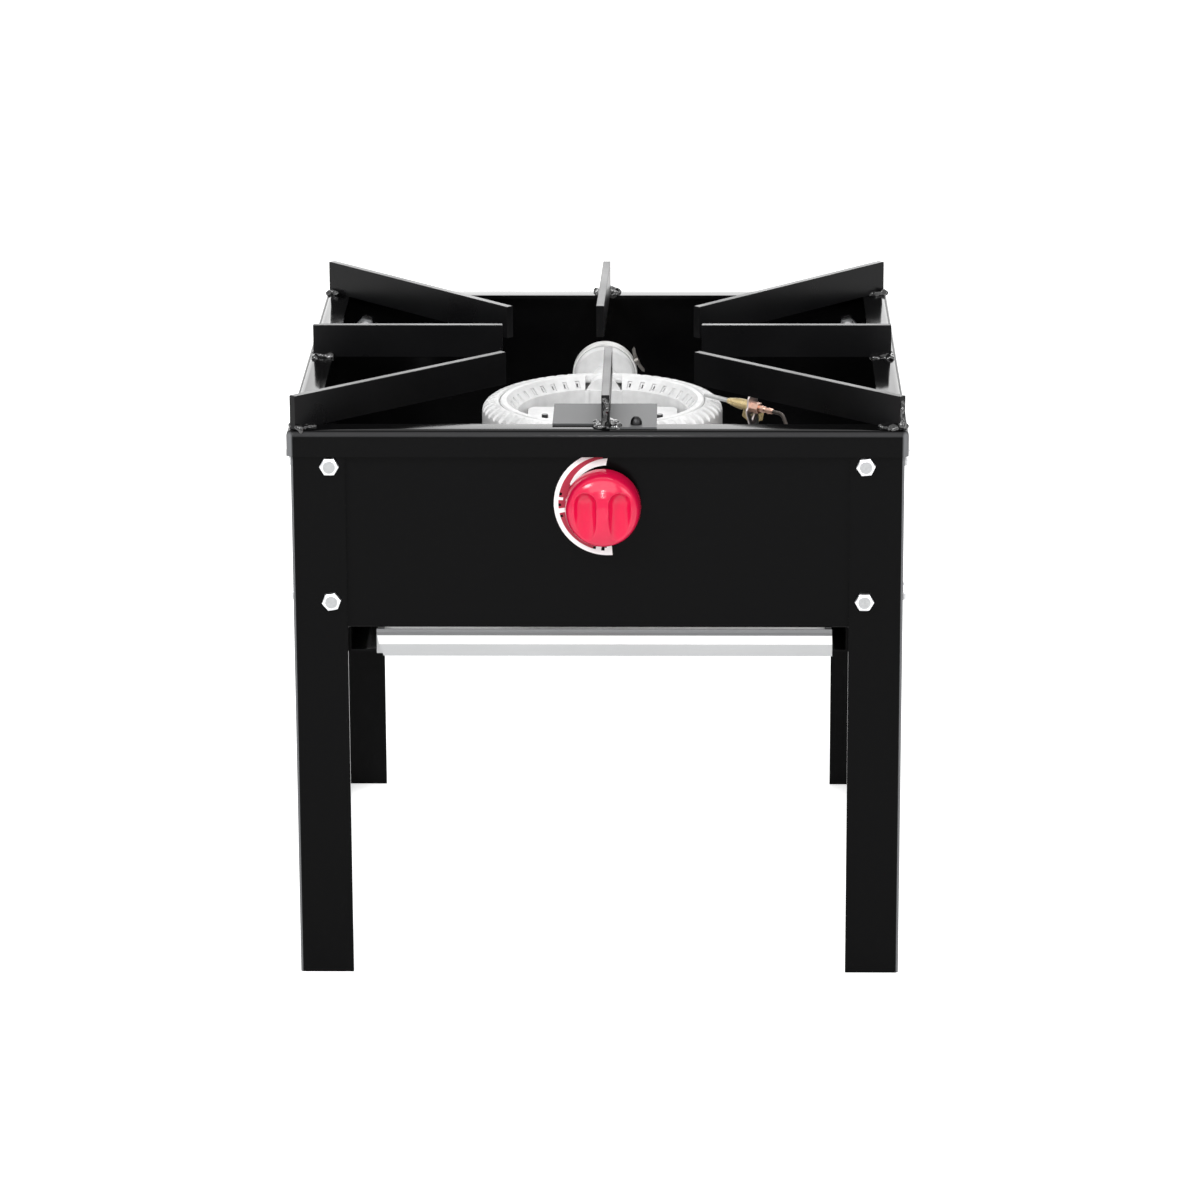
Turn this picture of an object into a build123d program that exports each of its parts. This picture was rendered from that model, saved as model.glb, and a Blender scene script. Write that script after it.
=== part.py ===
from build123d import *
import math
import os

os.makedirs("parts", exist_ok=True)

# Millimetres. Front is -Y, X to the right seen from the front, Z up from the floor.
# The origin is on the floor, in the middle of the stove.

# Stand
leg_span = 450.0          # over the outsides of the legs, both ways
frame_top = 422.0         # floor to the top face of the angle frame
leg_flange = 40.0
leg_t = 3.0
leg_edge_r = 2.5

# Angle frame on top of the legs
frame_flange = 20.0
frame_t = 3.0
frame_edge_r = 3.0
frame_corner_r = 4.0

# Sheet body
panel_t = 1.5
body_depth = 152.0        # frame top to the lower edge of the panels
fold_depth = 20.0         # return fold along the lower edge
fold_r = 2.5
panel_gap = 0.2           # between panels that meet at a corner

# Leg bolts and nuts
bolt_d = 8.0
bolt_hole_d = 8.6
bolt_af = 13.0
bolt_head_h = 5.3
bolt_len = 14.0
nut_h = 6.5
bolt_in = 28.5            # from the outer edge of a leg
bolt_head_gap = 0.2       # head corner to the lower edge of the angle frame
bolt_pitch = 103.0

# Pan support blades, flat bar on edge
blade_h = 25.0
blade_t = 6.0
blade_edge = 0.4
corner_inset = 5.0        # blade end to the frame's outer edge, at the corners
corner_inner_x = 73.0
corner_inner_front = 86.0
corner_inner_rear = 62.0
side_inset = 5.0
side_inner = 77.0
side_y = 2.0
front_inset = 7.0
front_inner = 70.0
front_x = 6.0
rear_inset = 5.0
rear_inner = 64.0
rear_x = -1.0
rear_skew = 1.5

# Ring burner
ring_drop = 33.6          # frame top to the top land of the burner
ring_h = 31.4
ring_r_in = 65.5
ring_width = 27.5
ring_wall = 5.0
ring_floor = 4.0
inner_bevel_w = 8.5
inner_bevel_h = 10.0
cap_foot_h = 1.0          # upright edge below the inner bevel
outer_bevel_w = 12.0      # the rounded shoulder outside the cap
outer_bevel_h = 8.5
outer_rim_w = 2.0         # flat rim between the cap's seam and the shoulder
seam_gap = 0.8
seam_bevel = 1.0
cap_t = 4.0
inner_port_count = 42
inner_port_w = 3.6
inner_port_depth = 1.6
port_start = 0.32         # a port's two ends, as parts of the bevel from its top
port_end = 0.88
port_slot_w = 1.4         # narrow slot at the bottom of each port, through to the gas channel
outer_port_count = 60
outer_port_w = 5.2
outer_port_depth = 2.2
port_free_angle = 16.0    # half angle left plain over the mixing tube
inner_rib_w = 3.0         # ribs on the inner wall under the mixing tube
inner_rib_t = 1.4
inner_rib_x = 13.0

# Mixing tube and bell, along Y behind the ring
mix_drop = 14.4           # ring top to the tube's axis
mix_r_ring = 14.0
mix_r_throat = 9.5
mix_bore_r = 7.0
bell_y = 127.0
bell_len = 15.0
bell_r = 24.2
bell_wall = 3.0
spider_t = 3.0
window_half = 28.0        # half angle of each air window
window_count = 3
window_r_in = 11.0

# Air shutter, a cup over the mouth of the bell
shutter_t = 1.2
shutter_fit = 0.3
shutter_wall = 10.0
shutter_bore_fit = 0.05
lock_angle = 24.0
lock_d = 4.0
lock_hub_d = 7.0
lock_hub_h = 3.4
wing_span = 22.0
wing_t = 2.2
wing_rise = 4.6           # from the hub's foot to the top of the wings

# Bridge plate inside the ring
bridge_drop = 14.9
bridge_w = 116.0
bridge_d = 66.0
bridge_t = 4.0
bridge_hole_x = 44.5
bridge_hole_d = 5.6
boss_d = 16.0
arm_w = 22.0
arm_h = 7.0

# Burner support bar
bar_w = 40.0
bar_t = 4.0
bar_end_h = 28.0
burner_bolt_d = 5.0
burner_bolt_af = 8.0
burner_bolt_head = 3.5
burner_bolt_len = 23.0

# Injector
neck_r = 6.0
holder = 18.0             # side of the square holder block
holder_gap = 0.5          # shutter to the holder's shoulder
injector_inlet_len = 6.0
jet_r = 4.0
jet_len = 12.0
jet_bore_r = 1.0

# Gas valve
valve_x = 4.0
valve_drop = 57.0         # frame top to the spindle axis
valve_w = 30.0
valve_h = 28.0
valve_len = 46.0
valve_edge = 3.0
collar_r = 6.0
collar_out = 6.0
collar_hole_fit = 0.3
nut_af = 17.0
nut_t = 3.0
spindle_r = 3.0
spindle_fit = 0.05
spindle_flat = 0.8
push_pin_r = 2.5
push_pin_len = 14.0
push_head_r = 5.0
push_head_t = 2.0
spring_r = 4.8
spring_wire = 0.8
push_travel = 3.0
travel_spare = 0.4
magnet_r = 8.5
magnet_len = 24.0
magnet_nut_af = 10.0
magnet_nut_len = 7.0
fitting_af = 14.0
fitting_len = 13.0

# Knob
knob_d = 56.0
knob_depth = 28.0
knob_stand = 4.0          # clear of the panel at rest
knob_skirt = 7.0
knob_wall = 3.0
knob_hub_r = 6.5
grip_w = 11.0
grip_face_d = 43.0
crown = 3.5              # the front's rise from the edge of its face to its middle
scoop_depth = 9.0
scoop_r = 9.0
scoop_wall = 4.0          # how far the scoop's wall leans in over its depth

# Heat shield plate, screwed on top of the frame over the valve
shield_t = 1.5
shield_left = 37.0        # from the valve's axis to each end
shield_right = 39.5
shield_reach = 75.0       # back edge, from the frame's outer face
shield_lap = 4.5          # how far the plate laps over the frame
shield_tab_lap = 15.0     # the tab at the screw laps further
shield_tab_gap = 1.5      # tab to the front blade
shield_screw_x = 24.4
shield_screw_y = 14.5     # behind the frame's outer face
shield_screw_d = 5.0
shield_screw_len = 12.0
shield_head_d = 8.6
shield_head_h = 2.8
shield_nut_af = 8.0
shield_nut_h = 4.0

# Gas pipes
pipe_d = 8.0
pipe_under_ring = 25.0    # the burner pipe's run below the ring casting
lead_d = 3.0

# Thermocouple, from its hot tip outwards
tip_in = 14.0             # from the ring's outer edge inwards
tip_y = -5.0
tip_over = 4.6            # above the ring's top
tip_aim = Vector(48.0, -40.0, -2.3)
tip_r = 1.7
tip_len = 24.0
sleeve_r = 4.2
sleeve_nose = 12.0
sleeve_len = 23.0
stub_r = 2.8              # the sleeve's end, through the bracket
sensor_nut_af = 7.5
sensor_nut_t = 7.0
ferrule_r = 2.6
ferrule_len = 13.0
bracket_t = 1.5
bracket_head_r = 5.6
bracket_head_up = 4.6     # round head's middle above the sensor's axis
bracket_fork_w = 14.0
bracket_fork_h = 10.0
bracket_stem_w = 5.6
bracket_foot = 20.0       # foot's screw, outside the ring
bracket_screw_y = -5.0
bracket_screw_d = 4.0

# Rear gas inlet
inlet_x = 120.0
inlet_z = 322.0
inlet_hex_af = 17.0
inlet_hex_t = 8.0
inlet_out = 32.0
hose_r = 4.9              # between the barbs
barb_r = 5.5              # crests of the barbs, and the plain land behind them
land_len = 8.0
barb_count = 3
barb_len = 3.0
barb_pitch = 4.0
inlet_bore_r = 3.0
inlet_thread_r = 6.0
inlet_in = 14.0
inlet_nut_t = 4.0

# Drip tray and its runners
tray_x = 4.5              # the tray sits a little to the right
tray_side_play = 15.0     # tray to the web of each runner, when centred
tray_h = 18.0
tray_t = 1.0
tray_side_h = 15.0
tray_top_gap = 1.4        # under the front panel
tray_end_play = 15.0      # tray's back wall to the runners' rear ends
lip_out = 8.0             # lip in front of the front panel's face
lip_step = 9.0
lip_top_band = 2.6
lip_slope_h = 6.3
lip_corner = 6.0
hem = 5.0
runner_t = 1.5
runner_side_gap = 35.5    # runner to the side panel
runner_end_gap = 9.5      # runner's ends to the front and back panels
runner_top_w = 9.0
runner_ledge_w = 27.0
runner_h = 21.5
rivet_d = 4.0
rivet_head_d = 7.0
rivet_head_h = 1.6

# Places worked out from the sizes above
ring_r_out = ring_r_in + ring_width
land_r_in = ring_r_in + inner_bevel_w
seam_r = ring_r_out - outer_bevel_w - outer_rim_w
shoulder_r = seam_r + outer_rim_w
bevel_drop = inner_bevel_h - cap_foot_h
port_slope = math.degrees(math.atan2(bevel_drop, inner_bevel_w))
groove_slope = math.degrees(math.atan2(outer_bevel_h, outer_bevel_w))
half = leg_span / 2
frame_half = half + frame_t
frame_under = frame_top - frame_t
panel_face = half - leg_t
panel_low = frame_top - body_depth
ring_top = frame_top - ring_drop
ring_low = ring_top - ring_h
mix_z = ring_top - mix_drop
bell_back = bell_y + bell_len
bridge_top = ring_top - bridge_drop
bar_top = ring_low
tip_at = Vector(ring_r_out - tip_in, tip_y, ring_top + tip_over)
bracket_foot_x = ring_r_out + bracket_foot
valve_z = frame_top - valve_drop
valve_front = -(panel_face - panel_t)
valve_back = valve_front + valve_len
knob_back = -(panel_face + knob_stand)
knob_front = knob_back - knob_depth
runner_x = panel_face - panel_t - runner_side_gap
runner_half = panel_face - panel_t - runner_end_gap
tray_w = 2 * (runner_x - runner_t - tray_side_play)
tray_back = runner_half - tray_end_play
lip_front = panel_face + lip_out
lip_back = lip_front - lip_step
tray_top = panel_low - tray_top_gap
tray_low = tray_top - tray_h
runner_low = panel_low - runner_h
holder_front = bell_back + shutter_t + 0.05 + holder_gap
holder_y = holder_front + holder / 2
injector_inlet_z = mix_z - holder / 2 - injector_inlet_len
bolt_top_z = frame_top - frame_flange - bolt_af / math.sqrt(3) - bolt_head_gap
bolt_levels = [bolt_top_z, bolt_top_z - bolt_pitch]
corners = [("front_left", -1, -1), ("front_right", 1, -1), ("rear_left", -1, 1), ("rear_right", 1, 1)]

made = {}


def keep(name, shape):
    """Holds a finished sub-part until the end, under its node's name."""
    made[name] = shape


def block(x0, x1, y0, y1, z0, z1):
    """A box between two corners."""
    low = Pos(min(x0, x1), min(y0, y1), min(z0, z1))
    return low * Box(abs(x1 - x0), abs(y1 - y0), abs(z1 - z0), align=(Align.MIN, Align.MIN, Align.MIN))


def rod(r, start, end):
    """A round bar between two points."""
    a = Vector(*start)
    b = Vector(*end)
    plane = Plane(origin=a, z_dir=(b - a))
    return extrude(plane * Circle(r), (b - a).length)


def hexagon(af, start, end, turn=0.0):
    """A hexagonal bar between two points, sized over its flats."""
    a = Vector(*start)
    b = Vector(*end)
    plane = Plane(origin=a, z_dir=(b - a))
    face = Rot(0, 0, turn) * RegularPolygon(af / 2, 6, major_radius=False)
    return extrude(plane * face, (b - a).length)


def turned(points, axis_origin=(0, 0), y_axis=False):
    """A ring or disc turned about Z, or about a Y axis at x, z, from points (radius, height along it)."""
    face = make_face(Plane.XZ * Polyline(*points, close=True))
    solid = revolve(face, Axis.Z)
    if y_axis:
        return Pos(axis_origin[0], 0, axis_origin[1]) * Rot(-90, 0, 0) * solid
    return Pos(axis_origin[0], axis_origin[1], 0) * solid


def prism(points, plane, amount):
    """An outline drawn on a plane and extruded the way that the plane looks."""
    return extrude(make_face(plane * Polyline(*points, close=True)), amount, dir=plane.z_dir)


def bend_radii(points):
    """The radius of each corner of a tube's route, as large as its two runs allow."""
    radii = []
    for a, b, c in zip(points, points[1:], points[2:]):
        first = Vector(*b) - Vector(*a)
        second = Vector(*c) - Vector(*b)
        turn = math.radians(first.get_angle(second))
        radii.append(0.45 * min(first.length, second.length) / math.tan(turn / 2))
    return radii


def tube(name, points, d):
    """A bent tube of one diameter, straight at its two ends."""
    radii = bend_radii(points)
    path = FilletPolyline(*points, radius=radii)
    start = Plane(origin=path @ 0, z_dir=path % 0)
    solid = sweep(start * Circle(d / 2), path=path)
    ideal = math.pi * d * d / 4 * path.length
    print(name, "radii", [round(r, 1) for r in radii], "volume ratio", round(solid.volume / ideal, 4))
    return solid


def four_ways(angle):
    """A turn about Z for the copy on each side of the stove."""
    return Rot(0, 0, angle)


def make_legs():
    for name, sx, sy in corners:
        outline = [(half, half), (half - leg_flange, half), (half - leg_flange, half - leg_t),
                   (half - leg_t, half - leg_t), (half - leg_t, half - leg_flange), (half, half - leg_flange)]
        leg = prism([(sx * x, sy * y) for x, y in outline], Plane.XY, frame_under)
        corner = [e for e in leg.edges().filter_by(Axis.Z)
                  if abs(abs(e.center().X) - half) < 0.01 and abs(abs(e.center().Y) - half) < 0.01]
        leg = fillet(corner, leg_edge_r)
        for z in bolt_levels:
            at = half - bolt_in
            leg -= rod(bolt_hole_d / 2, (sx * at, sy * (half + 1), z), (sx * at, sy * (half - leg_t - 1), z))
            leg -= rod(bolt_hole_d / 2, (sx * (half + 1), sy * at, z), (sx * (half - leg_t - 1), sy * at, z))
        keep("leg_" + name, leg)


def panel_shape(width):
    """The front panel's shape: a sheet with a rounded return fold along its lower edge."""
    outer = -panel_face
    inner = outer + panel_t
    sheet = block(-width / 2, width / 2, outer, inner, panel_low, frame_under)
    fold = block(-width / 2, width / 2, outer, outer + fold_depth, panel_low, panel_low + panel_t)
    # the fold stops short of the legs' inner sides so that the four folds don't meet
    mitre = fold_depth + leg_t
    for side in (-1, 1):
        end = side * width / 2
        back = outer + mitre + 1
        corner = [(end, outer - 1), (end, back), (end - side * (mitre + 2), back)]
        fold -= prism(corner, Plane.XY.offset(panel_low - 1), panel_t + 2)
    shape = sheet + fold
    edge = [e for e in shape.edges().filter_by(Axis.X)
            if abs(e.center().Y - outer) < 0.01 and abs(e.center().Z - panel_low) < 0.01]
    return fillet(edge, fold_r)


def make_panels():
    full = 2 * (panel_face - panel_gap)
    between = 2 * (panel_face - panel_t - panel_gap)
    at = half - bolt_in
    for name, turn, width in (("front_panel", 0, full), ("right_panel", 90, between),
                              ("back_panel", 180, full), ("left_panel", -90, between)):
        panel = panel_shape(width)
        for x in (-at, at):
            for z in bolt_levels:
                panel -= rod(bolt_hole_d / 2, (x, -half, z), (x, -half + 10, z))
        if name == "front_panel":
            x = valve_x
            panel -= rod(collar_r + collar_hole_fit, (x, -half, valve_z), (x, -half + 10, valve_z))
        if name == "back_panel":
            x = -inlet_x
            panel -= rod(inlet_thread_r + collar_hole_fit, (x, -half, inlet_z), (x, -half + 10, inlet_z))
        keep(name, four_ways(turn) * panel)


def bolt_places():
    """The place of each leg bolt on the outside of a leg, with the direction that its head looks."""
    at = half - bolt_in
    places = []
    for name, sx, sy in corners:
        for z in bolt_levels:
            places.append(((sx * at, sy * half, z), (0, sy, 0)))
            places.append(((sx * half, sy * at, z), (sx, 0, 0)))
    return places


def make_leg_bolts():
    bolts = []
    nuts = []
    for number, (place, out) in enumerate(bolt_places()):
        p = Vector(*place)
        d = Vector(*out)
        turn = 37.0 * number % 60
        head = hexagon(bolt_af, p, p + d * bolt_head_h, turn)
        shank = rod(bolt_d / 2, p - d * bolt_len, p)
        bolts.append(head + shank)
        start = p - d * (leg_t + panel_t)
        nut = hexagon(bolt_af, start, start - d * nut_h, turn + 20)
        nut -= rod(bolt_d / 2, start + d, start - d * (nut_h + 1))
        nuts.append(nut)
    keep("leg_bolts", Compound(bolts))
    keep("leg_nuts", Compound(nuts))


def make_frame():
    outer = Box(2 * frame_half, 2 * frame_half, frame_flange, align=(Align.CENTER, Align.CENTER, Align.MAX))
    outer = Pos(0, 0, frame_top) * outer
    outer = fillet(outer.edges().filter_by(Axis.Z), frame_corner_r)
    outer = fillet(outer.faces().sort_by(Axis.Z)[-1].edges(), frame_edge_r)
    inside = 2 * (frame_half - frame_t)
    under = block(-inside / 2, inside / 2, -inside / 2, inside / 2, frame_top - frame_flange - 1, frame_under)
    hole = frame_half - frame_flange
    opening = block(-hole, hole, -hole, hole, frame_top - frame_flange - 1, frame_top + 1)
    keep("top_frame", outer - under - opening)


def blade(start, end, lift=0.0):
    """A pan support blade from its outer end to its inner end; lift is what it stands on above the frame."""
    a = Vector(start[0], start[1], frame_top + lift)
    b = Vector(end[0], end[1], frame_top + lift)
    plane = Plane(origin=a, x_dir=(b - a), z_dir=(0, 0, 1))
    bar = Box((b - a).length, blade_t, blade_h - lift, align=(Align.MIN, Align.CENTER, Align.MIN))
    top = bar.faces().sort_by(Axis.Z)[-1].edges()
    return plane * chamfer(top, blade_edge)


def make_blades():
    corner = frame_half - corner_inset
    for name, sx, sy in corners:
        inner = corner_inner_front if sy < 0 else corner_inner_rear
        keep("support_" + name, blade((sx * corner, sy * corner), (sx * corner_inner_x, sy * inner)))
    side = frame_half - side_inset
    keep("support_left", blade((-side, side_y), (-side_inner, side_y)))
    keep("support_right", blade((side, side_y), (side_inner, side_y)))
    # the front blade stands on the heat shield, so it is cut lower to keep the tops level
    keep("support_front", blade((front_x, -(frame_half - front_inset)), (front_x, -front_inner), shield_t))
    rear_end = frame_half - rear_inset
    keep("support_rear", blade((rear_x + rear_skew, rear_end), (rear_x - rear_skew, rear_inner)))


def port_angles(count):
    """Angles of the ports round the ring, leaving out those over the mixing tube at the rear."""
    step = 360 / count
    angles = [(n + 0.5) * step for n in range(count)]
    return [a for a in angles if abs(a - 90) > port_free_angle]


def shoulder(t):
    """Points down the ring's rounded outer shoulder, a quarter of an ellipse."""
    points = []
    for step in range(6):
        a = math.radians(18 * step)
        points.append((shoulder_r + outer_bevel_w * math.sin(a), t - outer_bevel_h * (1 - math.cos(a))))
    return points


def make_burner_body():
    t = ring_top
    wall_in = ring_r_in + ring_wall - 1
    wall_out = ring_r_out - ring_wall
    ledge = seam_r - 3
    floor = ring_low + ring_floor
    inner_top = t - inner_bevel_h
    roof = [(wall_out, floor), (wall_out, t - outer_bevel_h - 3), (ledge, t - cap_t - 2)]
    seam = seam_r + seam_gap
    profile = [(ring_r_in, ring_low), (ring_r_in, inner_top), (wall_in, inner_top), (wall_in, floor)]
    profile += roof + [(ledge, t - cap_t), (seam, t - cap_t), (seam, t - seam_bevel), (seam + seam_bevel, t)]
    profile += shoulder(t) + [(ring_r_out, ring_low)]
    body = turned(profile)
    # round-bottomed grooves down the shoulder
    middle = math.radians(45)
    groove_x = shoulder_r + outer_bevel_w * math.sin(middle)
    groove_z = t - outer_bevel_h * (1 - math.cos(middle))
    groove_r = outer_port_w / 2
    slots = []
    for a in port_angles(outer_port_count):
        place = Rot(0, 0, a) * Pos(groove_x, 0, groove_z) * Rot(0, 90 + groove_slope, 0)
        slots.append(place * Pos(outer_port_depth - groove_r, 0, 0) * Cylinder(groove_r, 3 * outer_bevel_w))
    body -= slots
    # mixing tube, tapering from the ring back to its throat, then the shoulder and bell
    tube_start = ring_r_in + 1
    cone = turned([(0, tube_start), (mix_r_ring, tube_start), (mix_r_ring, ring_r_out + 2),
                   (mix_r_throat, bell_y), (0, bell_y)], (0, mix_z), y_axis=True)
    bell_outline = [(0, bell_y), (bell_r - 2, bell_y), (bell_r, bell_y + 2), (bell_r, bell_back),
                    (0, bell_back)]
    bell = turned(bell_outline, (0, mix_z), y_axis=True)
    seat = t - cap_t - 0.2
    channel = turned([(wall_in, floor)] + roof + [(ledge, seat), (wall_in, seat)])
    body += cone + bell
    inside_r = bell_r - bell_wall
    spider_y = bell_back - spider_t
    cavity = turned([(0, bell_y + 3), (inside_r, bell_y + 5), (inside_r, spider_y), (0, spider_y)],
                    (0, mix_z), y_axis=True)
    bore_r = mix_r_ring - 3
    bore = turned([(0, wall_in + 1), (bore_r, wall_in + 1), (bore_r, ring_r_out), (mix_bore_r, bell_y - 8),
                   (mix_bore_r, bell_y + 6), (0, bell_y + 6)], (0, mix_z), y_axis=True)
    body = body - cavity - bore - channel
    body -= air_windows(spider_y - 1, bell_back + 1, 0)
    body -= rod(neck_r, (0, spider_y - 1, mix_z), (0, bell_back + 1, mix_z))
    # bridge plate, its bosses and the arms that join it to the inner wall
    z1 = bridge_top
    z0 = z1 - bridge_t
    plate = block(-bridge_w / 2, bridge_w / 2, -bridge_d / 2, bridge_d / 2, z0, z1)
    plate = fillet(plate.edges().filter_by(Axis.Z), 6)
    plate &= rod(ring_r_in - 1.5, (0, 0, z0), (0, 0, z1))
    for side in (-1, 1):
        x = side * bridge_hole_x
        plate += rod(boss_d / 2, (x, 0, ring_low), (x, 0, z1))
        plate += block(x, side * (ring_r_in + 1), -arm_w / 2, arm_w / 2, ring_low, ring_low + arm_h)
    body += plate
    for side in (-1, 1):
        x = side * inner_rib_x
        y = math.sqrt(ring_r_in ** 2 - inner_rib_x ** 2)
        body += block(x - inner_rib_w / 2, x + inner_rib_w / 2, y - inner_rib_t, y + 1, ring_low, inner_top)
    for side in (-1, 1):
        x = side * bridge_hole_x
        body -= rod(bridge_hole_d / 2, (x, 0, ring_low - 1), (x, 0, z1 + 1))
    keep("burner_body", body)


def air_windows(y0, y1, turn):
    """Wedge windows round the injector, in the bell's back wall and in the shutter."""
    r0 = window_r_in
    r1 = bell_r - bell_wall - 1
    wedges = []
    for n in range(window_count):
        middle = 90 + turn + n * 360 / window_count
        ring = Circle(r1) - Circle(r0)
        reach = 2 * r1
        a0 = math.radians(middle - window_half)
        a1 = math.radians(middle + window_half)
        sector = make_face(Polyline((0, 0), (reach * math.cos(a0), reach * math.sin(a0)),
                                    (reach * math.cos(a1), reach * math.sin(a1)), close=True))
        flat = ring & sector
        # the outline's Y becomes -Z when it is turned to face along Y
        wedges.append(Pos(0, y0, mix_z) * Rot(-90, 0, 0) * extrude(flat, y1 - y0))
    return wedges


def make_burner_cap():
    t = ring_top
    wall_in = ring_r_in + ring_wall - 1
    foot = t - inner_bevel_h
    profile = [(ring_r_in, foot), (ring_r_in, foot + cap_foot_h), (land_r_in, t), (seam_r - seam_bevel, t),
               (seam_r, t - seam_bevel), (seam_r, t - cap_t), (land_r_in + 1, t - cap_t), (wall_in, foot)]
    cap = turned(profile)
    # wide shallow ports along the bevel, each with a narrow slot through to the channel
    slope_len = math.hypot(inner_bevel_w, bevel_drop)
    port = Box(inner_port_depth + 3, inner_port_w, (port_end - port_start) * slope_len,
               align=(Align.MIN, Align.CENTER, Align.MIN))
    slot_top = t - cap_t - 1
    slot_h = port_end * bevel_drop - cap_t - 1
    slot = Box(inner_bevel_w + 1, port_slot_w, slot_h, align=(Align.MIN, Align.CENTER, Align.MAX))
    ports = []
    for a in port_angles(inner_port_count):
        top = Rot(0, 0, a) * Pos(land_r_in - port_start * inner_bevel_w, 0, t - port_start * bevel_drop)
        ports.append(top * Rot(0, 270 - port_slope, 0) * Pos(-inner_port_depth, 0, 0) * port)
        ports.append(Rot(0, 0, a) * Pos(ring_r_in - 1, 0, slot_top) * slot)
    cap -= ports
    # the cap is cut away where the top of the mixing tube crosses the ring
    notch = turned([(0, ring_r_in - 5), (mix_r_ring + 0.4, ring_r_in - 5), (mix_r_ring + 0.4, ring_r_out + 2),
                    (0, ring_r_out + 2)], (0, mix_z), y_axis=True)
    wide = mix_r_ring + 0.4
    over = block(-wide, wide, 0, ring_r_out, mix_z, ring_top + 5)
    keep("burner_cap", cap - notch - over)


def make_air_shutter():
    inner = bell_r + shutter_fit
    outer = inner + shutter_t
    y0 = bell_back + 0.05
    bore = neck_r + shutter_bore_fit
    front = y0 - shutter_wall
    cup = turned([(bore, y0), (inner, y0), (inner, front), (outer, front), (outer, y0 + shutter_t - 0.4),
                  (outer - 0.4, y0 + shutter_t), (bore, y0 + shutter_t)], (0, mix_z), y_axis=True)
    cup -= air_windows(y0 - 1, y0 + shutter_t + 1, 0)
    middle = front + shutter_wall / 2
    a = math.radians(lock_angle)
    out = Vector(math.cos(a), 0, math.sin(a))
    centre = Vector(0, middle, mix_z)
    cup -= rod(lock_d / 2, centre + out * (inner - 2), centre + out * (outer + 2))
    keep("air_shutter", cup)
    foot = outer + 0.3
    shank = rod(lock_d / 2, centre + out * (bell_r + 0.1), centre + out * (foot + 1))
    hub = rod(lock_hub_d / 2, centre + out * foot, centre + out * (foot + lock_hub_h))
    # two rounded wings across the hub, along the edge of the bell
    reach = wing_span / 2
    plane = Plane(origin=centre + out * foot, x_dir=(-out.Z, 0, out.X), z_dir=(0, 1, 0))
    wing = [(0, 0.8), (reach * 0.45, 0.8), (reach * 0.85, wing_rise * 0.45), (reach, wing_rise * 0.8),
            (reach * 0.85, wing_rise), (reach * 0.6, wing_rise * 0.85), (0, lock_hub_h * 0.8)]
    pair = []
    for way in (-1, 1):
        outline = [(way * x, z) for x, z in wing]
        pair.append(Pos(0, -wing_t / 2, 0) * prism(outline, plane, wing_t))
    keep("shutter_lock_screw", shank + hub + pair)


def make_injector():
    y0 = bell_back - spider_t
    face = holder_front
    neck = rod(neck_r, (0, y0, mix_z), (0, face, mix_z))
    body = block(-holder / 2, holder / 2, face, face + holder, mix_z - holder / 2, mix_z + holder / 2)
    body = chamfer(body.edges().filter_by(Axis.Y), 2.0)
    inlet = hexagon(fitting_af - 1, (0, holder_y, mix_z - holder / 2), (0, holder_y, injector_inlet_z))
    keep("injector_holder", neck + body + inlet)
    tip = y0 - jet_len
    jet = turned([(jet_bore_r, y0), (jet_r, y0), (jet_r, y0 - jet_len + 3), (2.2, tip), (jet_bore_r, tip)],
                 (0, mix_z), y_axis=True)
    keep("injector_jet", jet)


def make_support_bar():
    reach = panel_face - panel_t
    z1 = bar_top
    bar = block(-reach, reach, -bar_w / 2, bar_w / 2, z1 - bar_t, z1)
    for side in (-1, 1):
        bar += block(side * reach, side * (reach - bar_t), -bar_w / 2, bar_w / 2, z1, z1 + bar_end_h)
    bolts = []
    for side in (-1, 1):
        x = side * bridge_hole_x
        bar -= rod(bridge_hole_d / 2, (x, 0, z1 - bar_t - 1), (x, 0, z1 + 1))
        low = z1 - bar_t
        bolts.append(hexagon(burner_bolt_af, (x, 0, low - burner_bolt_head), (x, 0, low), 15)
                     + rod(burner_bolt_d / 2, (x, 0, low), (x, 0, low + burner_bolt_len)))
    keep("burner_support_bar", bar)
    keep("burner_bolts", Compound(bolts))


def along_valve(r, y0, y1):
    """A round bar on the spindle's axis."""
    return rod(r, (valve_x, y0, valve_z), (valve_x, y1, valve_z))


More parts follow.
